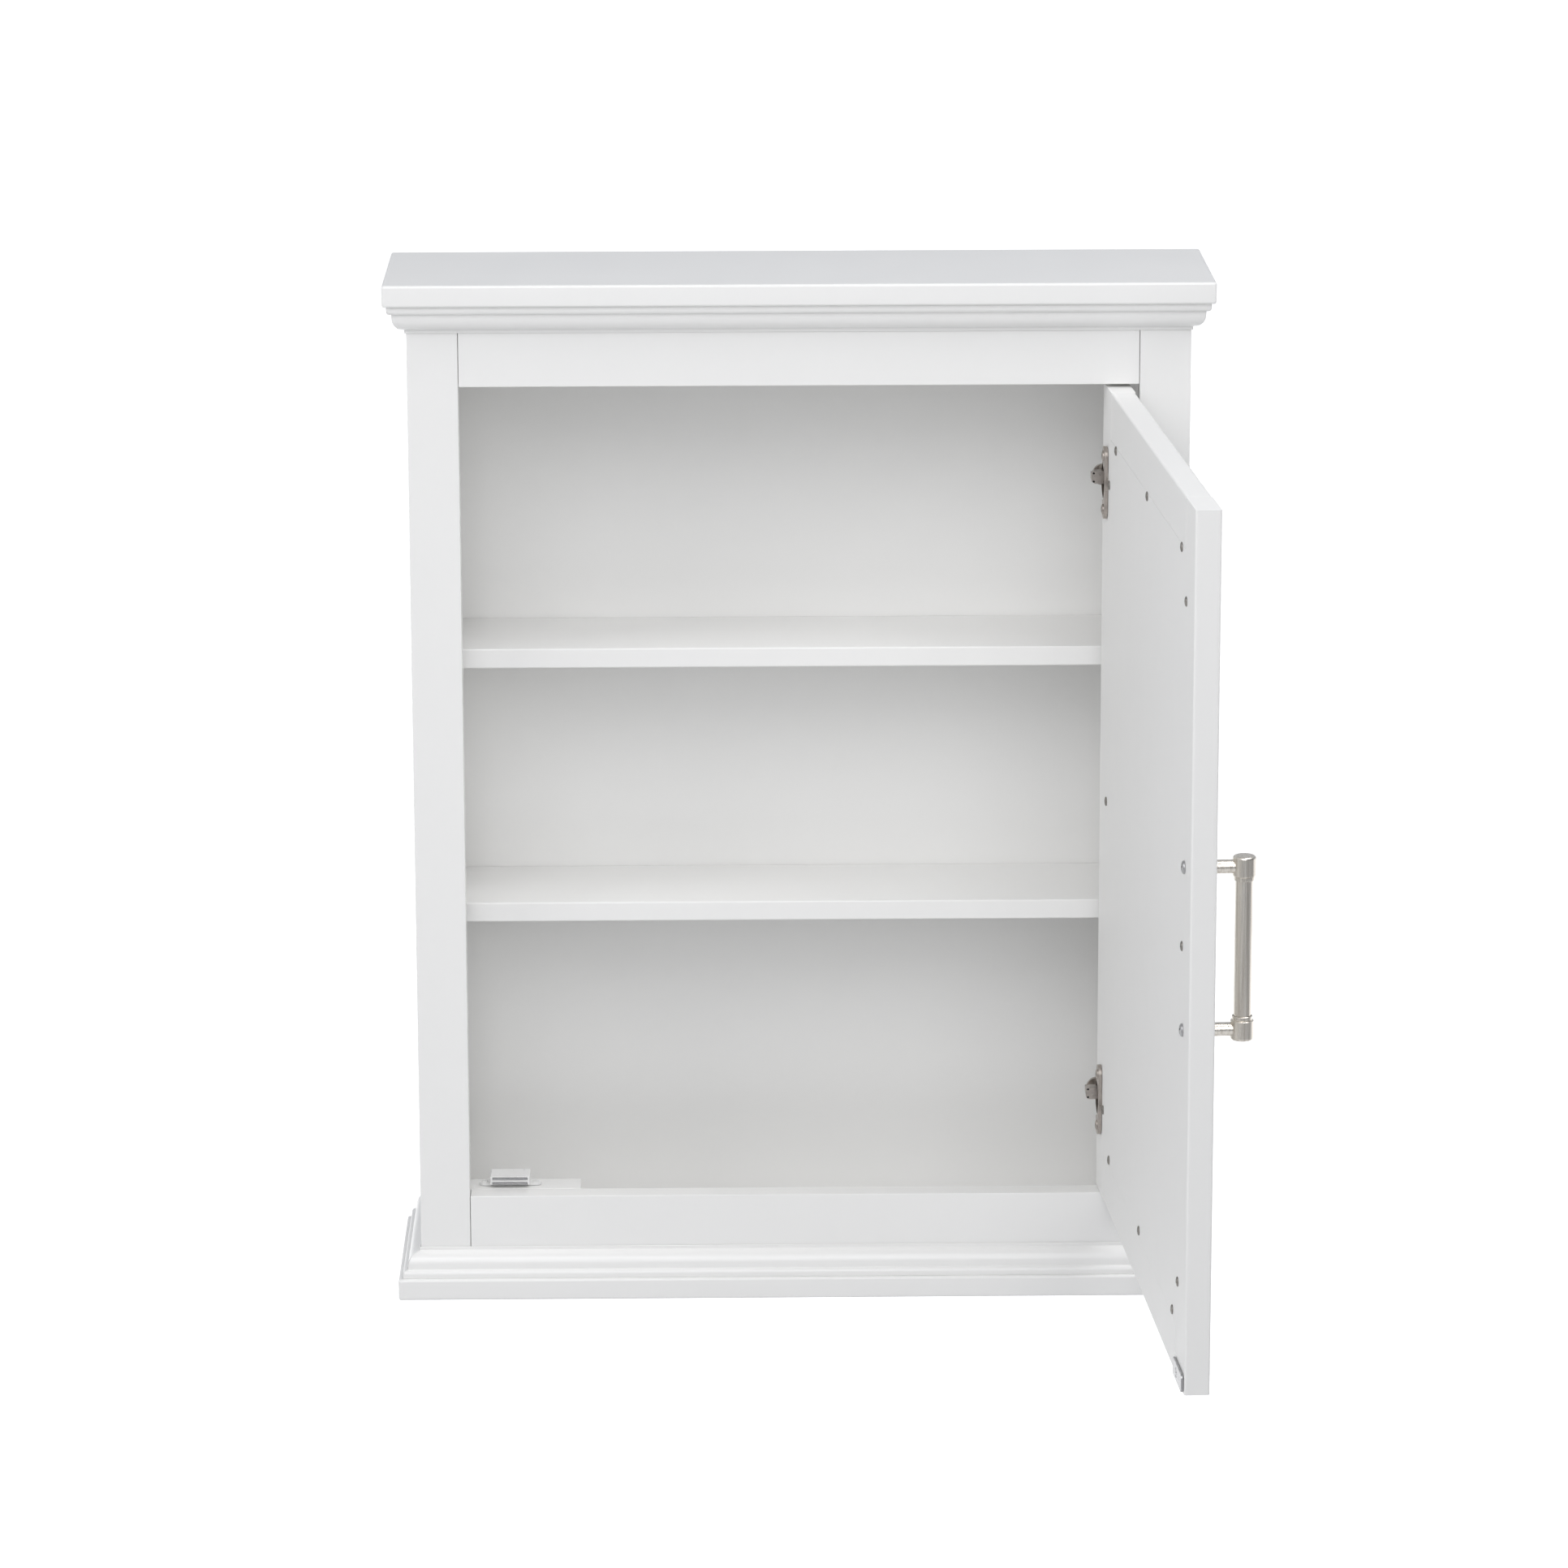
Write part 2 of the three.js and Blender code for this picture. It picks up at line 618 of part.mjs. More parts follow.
// The magnet's two poles in profile, joined at the back; `grow` widens it for the slot it sits in.
function magnetProfile(base, grow) {
  const front = CATCH.front - MAGNET.proud - (grow ? 1 : 0);
  const back = CATCH.front + MAGNET.depth + grow;
  const root = CATCH.front + MAGNET.slot - grow;
  const low = base + MAGNET.height[0] - grow;
  const high = base + MAGNET.height[1] + grow;
  const pole = MAGNET.pole + 2 * grow;
  return polygon([
    [front, low], [back, low], [back, high], [front, high],
    [front, high - pole], [root, high - pole], [root, low + pole], [front, low + pole],
  ]);
}

function addCatch() {
  const blockLeft = -INNER + GAP;
  const blockFront = FRAME_THICK + GAP;
  const block = box(
    [blockLeft, blockLeft + BLOCK_WIDTH],
    [blockFront, blockFront + BLOCK_DEPTH],
    [FLOOR + GAP, OPENING_BOTTOM],
  );
  const base = OPENING_BOTTOM + GAP;
  const earY = CATCH.front + CATCH.earSetback;
  const ears = [-1, 1].map((side) => CATCH_X + (side * (CATCH.width + CATCH.ears)) / 4);
  const earHoles = ears.map((x) => rod(1.6, 30, 12).rotateX(Math.PI / 2).translate(x, earY, base));
  add(cabinet, "catch_block", cut(block, earHoles), PAINT);

  const body = box(
    [CATCH_X - CATCH.width / 2, CATCH_X + CATCH.width / 2],
    [CATCH.front, CATCH.front + CATCH.depth],
    CATCH.height.map((height) => base + height),
  );
  const plate = extrudeZ(
    roundedRectangle(
      [CATCH_X - CATCH.ears / 2, CATCH_X + CATCH.ears / 2],
      [earY - CATCH.earHalf, earY + CATCH.earHalf],
      CATCH.earHalf - 0.01,
    ),
    [base, base + CATCH.earThick],
  );
  const half = MAGNET.width / 2;
  const slot = extrudeX(magnetProfile(base, GAP), [CATCH_X - half - GAP, CATCH_X + half + GAP]);
  const housing = cut(joined(body, [plate]), [slot, ...earHoles]);
  add(cabinet, "catch_housing", housing, WHITE_PLASTIC);
  const magnet = extrudeX(magnetProfile(base, 0), [CATCH_X - half, CATCH_X + half]);
  add(cabinet, "catch_magnet", magnet, DARK_STEEL);

  ears.forEach((x, index) => {
    const geometry = screw(PLATE_SCREW, 0, 0, 0).rotateX(Math.PI / 2);
    geometry.translate(x, earY, base + CATCH.earThick + GAP);
    add(cabinet, index ? "catch_screw_right" : "catch_screw_left", geometry, BRIGHT_STEEL);
  });
}

// The steel plate on the door that the catch's magnet holds.
function addStrike() {
  const across = [DOOR.free + STRIKE.edge, DOOR.free + STRIKE.edge + STRIKE.width];
  const up = [DOOR.bottom + STRIKE.bottom, DOOR.bottom + STRIKE.bottom + STRIKE.height];
  const seat = DOOR_THICK + GAP;
  const plate = extrudeY(roundedRectangle(across, up, STRIKE.corner), [seat, seat + STRIKE.thick]);
  const sunk = 0.5; // how far above the seat the screw's head starts
  const sink = rod(PLATE_SCREW.head + GAP, 2, 20);
  sink.translate(CATCH_X, seat + sunk + 1, strikeMiddle());
  const through = rod(PLATE_SCREW.hole, 20, 12).translate(CATCH_X, seat, strikeMiddle());
  add(door, "strike_plate", cut(plate, [sink, through]), BRIGHT_STEEL);
  const kind = { ...PLATE_SCREW, domed: 0.5 };
  const fixing = screw(kind, CATCH_X, seat + sunk + GAP, strikeMiddle());
  add(door, "strike_screw", fixing, BRIGHT_STEEL);
}

addCase();
addBack();
addFaceFrame();
addCorniceAndBase();
addDoorFrame();
addDoorPanels();
addHinges();
addHandle();
addCatch();
addStrike();

export default cabinet;
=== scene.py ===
"""A white painted wall cabinet with one mirrored door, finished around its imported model.

Metres, +Z up. The front faces -Y, the wall is at y = 0, and the door stands open on its right-hand
hinges. The door's own pieces are drawn with the door closed, and then turned with it.
"""

import json
import math

import bmesh
import bpy
from mathutils import Matrix, Vector


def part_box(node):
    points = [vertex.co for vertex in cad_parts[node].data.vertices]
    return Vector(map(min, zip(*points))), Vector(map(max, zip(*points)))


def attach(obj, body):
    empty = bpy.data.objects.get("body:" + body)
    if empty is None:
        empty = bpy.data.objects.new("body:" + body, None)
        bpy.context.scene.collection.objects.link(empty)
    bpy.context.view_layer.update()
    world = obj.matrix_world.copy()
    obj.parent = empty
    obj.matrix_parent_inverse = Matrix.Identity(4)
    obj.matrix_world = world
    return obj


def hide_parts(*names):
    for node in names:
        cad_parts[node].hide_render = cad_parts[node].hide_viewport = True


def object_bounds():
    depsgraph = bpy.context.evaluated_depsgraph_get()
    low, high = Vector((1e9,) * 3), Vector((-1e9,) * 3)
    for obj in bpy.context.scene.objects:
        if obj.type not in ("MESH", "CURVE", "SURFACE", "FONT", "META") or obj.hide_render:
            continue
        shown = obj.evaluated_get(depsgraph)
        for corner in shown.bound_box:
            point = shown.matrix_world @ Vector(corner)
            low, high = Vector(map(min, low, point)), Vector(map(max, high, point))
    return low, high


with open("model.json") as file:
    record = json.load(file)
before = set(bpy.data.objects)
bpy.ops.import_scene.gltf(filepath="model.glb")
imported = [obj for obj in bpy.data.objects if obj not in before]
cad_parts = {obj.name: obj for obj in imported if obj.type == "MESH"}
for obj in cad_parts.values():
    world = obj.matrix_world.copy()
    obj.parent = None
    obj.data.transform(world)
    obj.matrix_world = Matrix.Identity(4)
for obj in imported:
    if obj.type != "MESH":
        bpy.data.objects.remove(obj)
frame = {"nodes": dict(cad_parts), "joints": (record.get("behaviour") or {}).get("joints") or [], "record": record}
CAD_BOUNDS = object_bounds()

MM = 0.001
GAP = 0.3 * MM
WELD = 0.002 * MM  # vertices nearer than this are joined

# How the edges of small pressed and turned pieces are rounded.
FINE_EDGE = {"segments": 2, "angle": 40}

# ---- The frame's facts --------------------------------------------------------------------------

SWING = frame["joints"][0]
PIN = Vector(SWING["pos_m"])
OPEN_ANGLE = -math.radians(SWING["range_deg"][0])
TO_PIN = Matrix.Translation(PIN)
DOOR_TURN = TO_PIN @ Matrix.Rotation(OPEN_ANGLE, 4, "Z") @ TO_PIN.inverted()
BODY_OF = {
    node: body for body, nodes in frame["record"]["behaviour"]["bodies"].items() for node in nodes
}
SLOT_OF = {part["node"]: part["material_slot"] for part in frame["record"]["subparts"]}


def closed_box(node):
    """The lowest and highest corners of a door node, with the door closed."""
    back = DOOR_TURN.inverted()
    corners = [back @ vertex.co for vertex in frame["nodes"][node].data.vertices]
    low = Vector(min(corner[axis] for corner in corners) for axis in range(3))
    high = Vector(max(corner[axis] for corner in corners) for axis in range(3))
    return low, high


def middle(box):
    return (box[0] + box[1]) / 2


# ---- Camera, light and stage --------------------------------------------------------------------

CAMERA_PLACE = (-0.0636, -3.9280, 0.6536)
CAMERA_SENSOR = 36
CAMERA_LENS = 143.4
CAMERA_REACH = 200
CAMERA_PITCH = 0.2372
CAMERA_YAW = 0.0141
CAMERA_ROLL = -0.0024

LIGHT_CENTRE = Vector((0, -0.1, -0.27))
LIGHT_DISTANCE = 2.6
SOFTBOX_COLOUR = (1.0, 1.0, 1.012)
# Each softbox: degrees to the right of the front, degrees up, width, height, watts.
SOFTBOXES = {
    "front_softbox": (3, 29, 1.2, 2.1, 22.0),
    "front_left_softbox": (-25, 38, 1.2, 1.2, 9.5),
    "left_softbox": (-70, 27, 1.2, 2.0, 18.0),
    "high_right_softbox": (62, 58, 1.3, 1.3, 24.0),
}

STUDIO_COLOUR = (0.95, 0.98, 1.04, 1)
STUDIO_GLOW = {"From Min": -0.2, "From Max": 0.9, "To Min": 0.2, "To Max": 0.5}

FLOOR_DROP = 0.42
FLOOR_SIZE = 60.0
FLOOR_GLOW = {"low": 0.0, "high": 0.92, "start": -0.1, "end": 0.42}


def add_camera():
    data = bpy.data.cameras.new("camera")
    data.sensor_width = CAMERA_SENSOR
    data.lens = CAMERA_LENS
    data.clip_end = CAMERA_REACH
    camera = bpy.data.objects.new("camera", data)
    camera.matrix_world = (
        Matrix.Translation(CAMERA_PLACE)
        @ Matrix.Rotation(-CAMERA_YAW, 4, "Z")
        @ Matrix.Rotation(math.pi / 2 - CAMERA_PITCH, 4, "X")
        @ Matrix.Rotation(CAMERA_ROLL, 4, "Z")
    )
    bpy.context.scene.collection.objects.link(camera)
    bpy.context.scene.camera = camera


def add_softbox(name, across, up, size, power):
    data = bpy.data.lights.new(name, "AREA")
    data.shape = "RECTANGLE"
    data.size, data.size_y = size
    data.energy = power
    data.color = SOFTBOX_COLOUR
    light = bpy.data.objects.new(name, data)
    away = Vector((math.sin(across) * math.cos(up), -math.cos(across) * math.cos(up), math.sin(up)))
    light.location = LIGHT_CENTRE + away * LIGHT_DISTANCE
    light.rotation_euler = (-away).to_track_quat("-Z", "Y").to_euler()
    bpy.context.scene.collection.objects.link(light)


def add_backdrop_glow(tree, strength):
    """A studio that is dim in front and brighter behind the cabinet."""
    place = tree.nodes.new("ShaderNodeTexCoord")
    apart = tree.nodes.new("ShaderNodeSeparateXYZ")
    glow = tree.nodes.new("ShaderNodeMapRange")
    glow.interpolation_type = "SMOOTHSTEP"
    for socket, value in STUDIO_GLOW.items():
        glow.inputs[socket].default_value = value
    tree.links.new(place.outputs["Generated"], apart.inputs["Vector"])
    tree.links.new(apart.outputs["Y"], glow.inputs["Value"])
    tree.links.new(glow.outputs["Result"], strength)


def add_light():
    scene = bpy.context.scene
    scene.view_settings.view_transform = "Standard"
    scene.view_settings.look = "None"
    world = bpy.data.worlds.new("studio")
    world.use_nodes = True
    sky = world.node_tree.nodes["Background"]
    sky.inputs["Color"].default_value = STUDIO_COLOUR
    add_backdrop_glow(world.node_tree, sky.inputs["Strength"])
    scene.world = world
    for name, (across, up, width, height, power) in SOFTBOXES.items():
        add_softbox(name, math.radians(across), math.radians(up), (width, height), power)


def add_floor():
    """A pale floor that glows, its glow dimmer in front of the cabinet, so that little light comes up from below.
    """
    reach = FLOOR_SIZE / 2
    level = CAD_BOUNDS[0][2] - FLOOR_DROP
    mesh = bpy.data.meshes.new("floor")
    corners = [(-reach, -reach, level), (reach, -reach, level), (reach, reach, level)]
    mesh.from_pydata(corners + [(-reach, reach, level)], [], [(0, 1, 2, 3)])
    floor = bpy.data.objects.new("floor", mesh)
    bpy.context.scene.collection.objects.link(floor)
    recipe = Recipe("pale_floor", (0.8, 0.8, 0.8), 0.9)
    recipe.set("Specular IOR Level", 0.0)
    apart = recipe.node("ShaderNodeSeparateXYZ", Vector=recipe.place)
    glow = recipe.between(apart.outputs["Y"], **FLOOR_GLOW)
    recipe.set("Emission Color", (1, 1, 1, 1))
    recipe.feed(recipe.shader.inputs["Emission Strength"], glow)
    mesh.materials.append(recipe.material)


# ---- Materials ----------------------------------------------------------------------------------


class Recipe:
    """A node material being built: the shader, and a few ways to add nodes to it."""

    def __init__(self, name, colour, roughness, metallic=0.0):
        self.material = bpy.data.materials.new(name)
        self.material.use_nodes = True
        self.tree = self.material.node_tree
        self.shader = self.tree.nodes["Principled BSDF"]
        self.set("Base Color", (*colour, 1))
        self.set("Roughness", roughness)
        self.set("Metallic", metallic)
        self.place = self.tree.nodes.new("ShaderNodeTexCoord").outputs["Object"]

    def set(self, socket, value):
        self.shader.inputs[socket].default_value = value

    def node(self, kind, **inputs):
        node = self.tree.nodes.new(kind)
        for socket, value in inputs.items():
            self.feed(node.inputs[socket.replace("_", " ")], value)
        return node

    def feed(self, socket, value):
        if isinstance(value, bpy.types.NodeSocket):
            self.tree.links.new(value, socket)
        else:
            socket.default_value = value

    def stretched(self, scale):
        """Object coordinates multiplied by a scale for each axis."""
        return self.node("ShaderNodeMapping", Vector=self.place, Scale=scale).outputs["Vector"]

    def noise(self, scale, detail=3.0, vector=None):
        vector = vector or self.place
        found = self.node("ShaderNodeTexNoise", Vector=vector, Scale=scale, Detail=detail)
        return found.outputs["Fac"]

    def between(self, factor, low, high, start=0.3, end=0.7):
        """A factor spread over the range from low to high."""
        ranged = self.node("ShaderNodeMapRange", Value=factor)
        ranged.inputs["From Min"].default_value = start
        ranged.inputs["From Max"].default_value = end
        ranged.inputs["To Min"].default_value = low
        ranged.inputs["To Max"].default_value = high
        return ranged.outputs["Result"]

    def tinted(self, factor, dark, light):
        mix = self.tree.nodes.new("ShaderNodeMix")
        mix.data_type = "RGBA"
        self.feed(mix.inputs["Factor"], factor)
        mix.inputs["A"].default_value = (*dark, 1)
        mix.inputs["B"].default_value = (*light, 1)
        self.tree.links.new(mix.outputs["Result"], self.shader.inputs["Base Color"])

    def rough(self, factor):
        self.tree.links.new(factor, self.shader.inputs["Roughness"])

    def bump(self, *layers):
        """Each layer is a height and how deep it is, in metres."""
        normal = None
        for height, depth in layers:
            bump = self.node("ShaderNodeBump", Height=height, Distance=depth)
            bump.inputs["Strength"].default_value = 1.0
            if normal:
                self.tree.links.new(normal, bump.inputs["Normal"])
            normal = bump.outputs["Normal"]
        self.tree.links.new(normal, self.shader.inputs["Normal"])


def white_paint(name="white_paint", tone=1.0, smoothest=0.28, roughest=0.36, sheen=0.5, coat=0.3):
    """Lacquer sprayed over board: faint orange peel, and a soft unevenness under it."""
    shades = [
        tuple(tone * part for part in shade)
        for shade in ((0.898, 0.894, 0.878), (0.91, 0.906, 0.89))
    ]
    recipe = Recipe(name, shades[1], smoothest)
    recipe.tinted(recipe.noise(5.0), *shades)
    recipe.rough(recipe.between(recipe.noise(30.0), smoothest, roughest))
    peel = recipe.noise(620.0, 2.0)
    wave = recipe.noise(55.0, 2.0)
    recipe.bump((wave, 0.05 * MM), (peel, 0.012 * MM))
    recipe.set("Specular IOR Level", sheen)
    recipe.set("Coat Weight", coat)
    recipe.set("Coat Roughness", 0.18)
    return recipe.material


def door_paint():
    """The same lacquer without its last coat, so the door is closer to matt than the case. Its colour is also made
    a little darker, as painted shade on the door.
    """
    # The tone of 0.957 darkens the door's colour: painted shade.
    return white_paint("door_paint", 0.957, 0.46, 0.56, 0.14, 0.0)


def brushed_nickel():
    """Satin nickel with fine vertical brush marks."""
    recipe = Recipe("brushed_nickel", (0.62, 0.59, 0.56), 0.3, 1.0)
    marks = recipe.noise(1.0, 3.0, recipe.stretched((2600, 2600, 40)))
    broad = recipe.noise(1.0, 4.0, recipe.stretched((700, 700, 14)))
    recipe.tinted(recipe.between(broad, 0.0, 1.0), (0.68, 0.63, 0.56), (0.97, 0.925, 0.85))
    recipe.rough(recipe.between(marks, 0.22, 0.4))
    recipe.bump((marks, 0.03 * MM))
    recipe.set("Anisotropic", 0.3)
    return recipe.material


def hinge_nickel():
    """Pressed steel with a darker, warmer plating, slightly mottled."""
    recipe = Recipe("hinge_nickel", (0.5, 0.46, 0.43), 0.34, 1.0)
    recipe.tinted(recipe.noise(220.0, 4.0), (0.36, 0.325, 0.3), (0.6, 0.55, 0.505))
    recipe.rough(recipe.between(recipe.noise(700.0), 0.26, 0.42))
    recipe.bump((recipe.noise(90.0), 0.05 * MM), (recipe.noise(1300.0), 0.01 * MM))
    return recipe.material


def screw_steel():
    """The panel screws: dull steel, browned a little in patches."""
    recipe = Recipe("screw_steel", (0.3, 0.28, 0.26), 0.36, 1.0)
    recipe.tinted(recipe.noise(420.0), (0.17, 0.155, 0.14), (0.42, 0.4, 0.375))
    recipe.rough(recipe.between(recipe.noise(800.0), 0.28, 0.46))
    recipe.bump((recipe.noise(1500.0), 0.012 * MM))
    return recipe.material


def zinc_steel():
    """Dulled zinc plating, slightly uneven."""
    recipe = Recipe("zinc_steel", (0.55, 0.56, 0.57), 0.3, 1.0)
    recipe.tinted(recipe.noise(500.0), (0.42, 0.42, 0.425), (0.58, 0.58, 0.585))
    recipe.rough(recipe.between(recipe.noise(900.0), 0.3, 0.46))
    recipe.bump((recipe.noise(1600.0), 0.01 * MM))
    return recipe.material


def dark_steel():
    """The hinges' pivots: steel made nearly black, as painted shade for the dark pivot holes."""
    recipe = Recipe("dark_steel", (0.03, 0.03, 0.03), 0.45, 1.0)
    recipe.tinted(recipe.noise(700.0), (0.02, 0.02, 0.02), (0.05, 0.048, 0.046))
    recipe.rough(recipe.between(recipe.noise(400.0), 0.32, 0.5))
    recipe.bump((recipe.noise(1500.0), 0.012 * MM))
    return recipe.material


def pole_steel():
    """The catch's poles: bare steel, ground flat."""
    recipe = Recipe("pole_steel", (0.5, 0.5, 0.51), 0.4, 1.0)
    recipe.tinted(recipe.noise(700.0), (0.4, 0.4, 0.41), (0.6, 0.6, 0.61))
    recipe.rough(recipe.between(recipe.noise(400.0), 0.34, 0.5))
    recipe.bump((recipe.noise(1500.0), 0.012 * MM))
    return recipe.material


def lacquered_steel():
    """Screw heads dipped in white lacquer, a little greyer than the plastic round them."""
    recipe = Recipe("lacquered_steel", (0.78, 0.78, 0.77), 0.35)
    recipe.tinted(recipe.noise(300.0), (0.72, 0.72, 0.71), (0.84, 0.84, 0.83))
    recipe.rough(recipe.between(recipe.noise(500.0), 0.28, 0.42))
    recipe.bump((recipe.noise(900.0), 0.01 * MM))
    return recipe.material


def white_plastic():
    """Moulded plastic, smooth with a faint flow of its own."""
    recipe = Recipe("white_plastic", (0.88, 0.88, 0.87), 0.3)
    recipe.tinted(recipe.noise(60.0), (0.86, 0.86, 0.85), (0.9, 0.9, 0.89))
    recipe.rough(recipe.between(recipe.noise(250.0), 0.26, 0.36))
    recipe.bump((recipe.noise(900.0), 0.008 * MM))
    recipe.set("Subsurface Weight", 0.05)
    recipe.set("Subsurface Radius", (0.001, 0.001, 0.001))
    return recipe.material


def mirror_glass():
    """Silvered float glass, very slightly wavy."""
    recipe = Recipe("mirror_glass", (0.93, 0.945, 0.94), 0.015, 1.0)
    recipe.tinted(recipe.noise(3.0), (0.92, 0.935, 0.93), (0.94, 0.955, 0.95))
    recipe.rough(recipe.between(recipe.noise(8.0), 0.008, 0.02))
    recipe.bump((recipe.noise(3.0, 1.0), 0.02 * MM))
    return recipe.material


MATERIALS = {
    "white_paint": white_paint(),
    "door_paint": door_paint(),
    "brushed_nickel": brushed_nickel(),
    "hinge_nickel": hinge_nickel(),
    "screw_steel": screw_steel(),
    "pole_steel": pole_steel(),
    "lacquered_steel": lacquered_steel(),
    "zinc_steel": zinc_steel(),
    "dark_steel": dark_steel(),
    "white_plastic": white_plastic(),
    "mirror": mirror_glass(),
}


# ---- Mesh helpers -------------------------------------------------------------------------------


def linked(name, mesh):
    piece = bpy.data.objects.new(name, mesh)
    bpy.context.scene.collection.objects.link(piece)
    return piece


def from_bmesh(name, shape):
    mesh = bpy.data.meshes.new(name)
    shape.to_mesh(mesh)
    shape.free()
    return linked(name, mesh)


def soften(piece, width, segments=3, angle=35):
    """Rounds every edge that turns by more than the angle, and smooths the rest."""
    for face in piece.data.polygons:
        face.use_smooth = True
    bevel = piece.modifiers.new("rounded_edges", "BEVEL")
    bevel.width = width
    bevel.segments = segments
    bevel.limit_method = "ANGLE"
    bevel.angle_limit = math.radians(angle)
    bevel.use_clamp_overlap = True
    normals = piece.modifiers.new("flat_faces_lead", "WEIGHTED_NORMAL")
    normals.mode = "FACE_AREA"
    normals.weight = 100
    return piece


def smoothed(piece, angle):
    """Smooth shading, with the edges that turn by more than the angle left sharp."""
    for face in piece.data.polygons:
        face.use_smooth = True
    piece.data.set_sharp_from_angle(angle=math.radians(angle))
    return piece


def frozen(piece):
    """The piece with its modifiers made into plain mesh."""
    bpy.context.view_layer.update()
    depsgraph = bpy.context.evaluated_depsgraph_get()
    mesh = bpy.data.meshes.new_from_object(piece.evaluated_get(depsgraph))
    name = piece.name
    bpy.data.objects.remove(piece)
    mesh.name = name
    return linked(name, mesh)


def united(name, pieces):
    """One closed body from several overlapping ones."""
    base = pieces[0]
    for extra in pieces[1:]:
        union = base.modifiers.new("union", "BOOLEAN")
        union.operation = "UNION"
        union.solver = "EXACT"
        union.object = extra
    whole = frozen(base)
    for extra in pieces[1:]:
        bpy.data.objects.remove(extra)
    whole.name = name
    return whole


def cut_from(piece, tools):
    for tool in tools:
        cut = piece.modifiers.new("cut", "BOOLEAN")
        cut.operation = "DIFFERENCE"
        cut.solver = "EXACT"
        cut.object = tool
    name = piece.name
    whole = frozen(piece)
    for tool in tools:
        bpy.data.objects.remove(tool)
    whole.name = name
    return whole


def kept_inside(piece, tool):
    """Only the part of the piece that is inside the tool."""
    common = piece.modifiers.new("common", "BOOLEAN")
    common.operation = "INTERSECT"
    common.solver = "EXACT"
    common.object = tool
    whole = frozen(piece)
    bpy.data.objects.remove(tool)
    return whole


def placed(piece, matrix):
    piece.data.transform(matrix)
    if matrix.determinant() < 0:
        piece.data.flip_normals()
    return piece


def axes(origin, u, v, w):
    """The matrix that takes x, y and z to the directions u, v and w from the origin."""
    matrix = Matrix((u, v, w)).transposed().to_4x4()
    matrix.translation = origin
    return matrix


X, Y, Z = Vector((1, 0, 0)), Vector((0, 1, 0)), Vector((0, 0, 1))


def arc(centre, radius, start, end, steps=8):
    """Points along an arc, with angles in degrees."""
    points = []
    for step in range(steps + 1):
        angle = math.radians(start + (end - start) * step / steps)
        points.append((centre[0] + radius * math.cos(angle), centre[1] + radius * math.sin(angle)))
    return points


def circle(centre, radius, steps=24):
    return arc(centre, radius, 0, 360 - 360 / steps, steps - 1)


def rounded_rectangle(u, v, radius, steps=6):
    return (
        arc((u[1] - radius, v[1] - radius), radius, 0, 90, steps)
        + arc((u[0] + radius, v[1] - radius), radius, 90, 180, steps)
        + arc((u[0] + radius, v[0] + radius), radius, 180, 270, steps)
        + arc((u[1] - radius, v[0] + radius), radius, 270, 360, steps)
    )


def plate(name, outlines, thickness):
    """A flat plate from z = 0 up. The first outline is its edge, and any others are holes."""
    shape = bmesh.new()
    for outline in outlines:
        ring = [shape.verts.new((u, v, 0)) for u, v in outline]
        for first, second in zip(ring, ring[1:] + ring[:1]):
            shape.edges.new((first, second))
    bmesh.ops.triangle_fill(shape, use_beauty=True, edges=shape.edges[:])
    bmesh.ops.dissolve_limit(
        shape, angle_limit=math.radians(1), verts=shape.verts[:], edges=shape.edges[:]
    )
    made = bmesh.ops.extrude_face_region(shape, geom=shape.faces[:])
    raised = [item for item in made["geom"] if isinstance(item, bmesh.types.BMVert)]
    bmesh.ops.translate(shape, verts=raised, vec=(0, 0, thickness))
    bmesh.ops.recalc_face_normals(shape, faces=shape.faces[:])
    return from_bmesh(name, shape)


def turned(name, profile, steps=48):
    """A turned piece round z, from a profile of radius and height that starts and ends on the axis
    or closes on itself."""
    shape = bmesh.new()
    closed = profile[0] == profile[-1]
    points = profile[:-1] if closed else profile
    rings = []
    for radius, height in points:
        if radius == 0:
            rings.append([shape.verts.new((0, 0, height))])
            continue
        ring = []
        for step in range(steps):
            angle = 2 * math.pi * step / steps
            place = (radius * math.cos(angle), radius * math.sin(angle), height)
            ring.append(shape.verts.new(place))
        rings.append(ring)
    pairs = list(zip(rings, rings[1:]))
    if closed:
        pairs.append((rings[-1], rings[0]))
    for lower, upper in pairs:
        for step in range(steps):
            after = (step + 1) % steps
            corners = [lower[step % len(lower)], lower[after % len(lower)]]
            corners += [upper[after % len(upper)], upper[step % len(upper)]]
            corners = list(dict.fromkeys(corners))
            if len(corners) > 2:
                shape.faces.new(corners)
    bmesh.ops.recalc_face_normals(shape, faces=shape.faces[:])
    return from_bmesh(name, shape)


def rod_profile(radius, length, chamfer):
    """The profile of a plain rod with chamfered ends, for turning."""
    return [
        (0, 0), (radius - chamfer, 0), (radius, chamfer), (radius, length - chamfer),
        (radius - chamfer, length), (0, length),
    ]


def block(name, low, high):
    shape = bmesh.new()
    bmesh.ops.create_cube(shape, size=1)
    size = Vector(high) - Vector(low)
    bmesh.ops.scale(shape, vec=size, verts=shape.verts[:])
    bmesh.ops.translate(shape, vec=(Vector(low) + Vector(high)) / 2, verts=shape.verts[:])
    return from_bmesh(name, shape)


def finish_piece(piece, body, slot, *nodes, material=None):
    """Gives a piece its material and its body, and hides the nodes that it stands for."""
    piece.data.materials.clear()
    piece.data.materials.append(MATERIALS[material or slot])
    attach(piece, body)
    if nodes:
        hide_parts(*nodes)
    return piece


# ---- Boards -------------------------------------------------------------------------------------

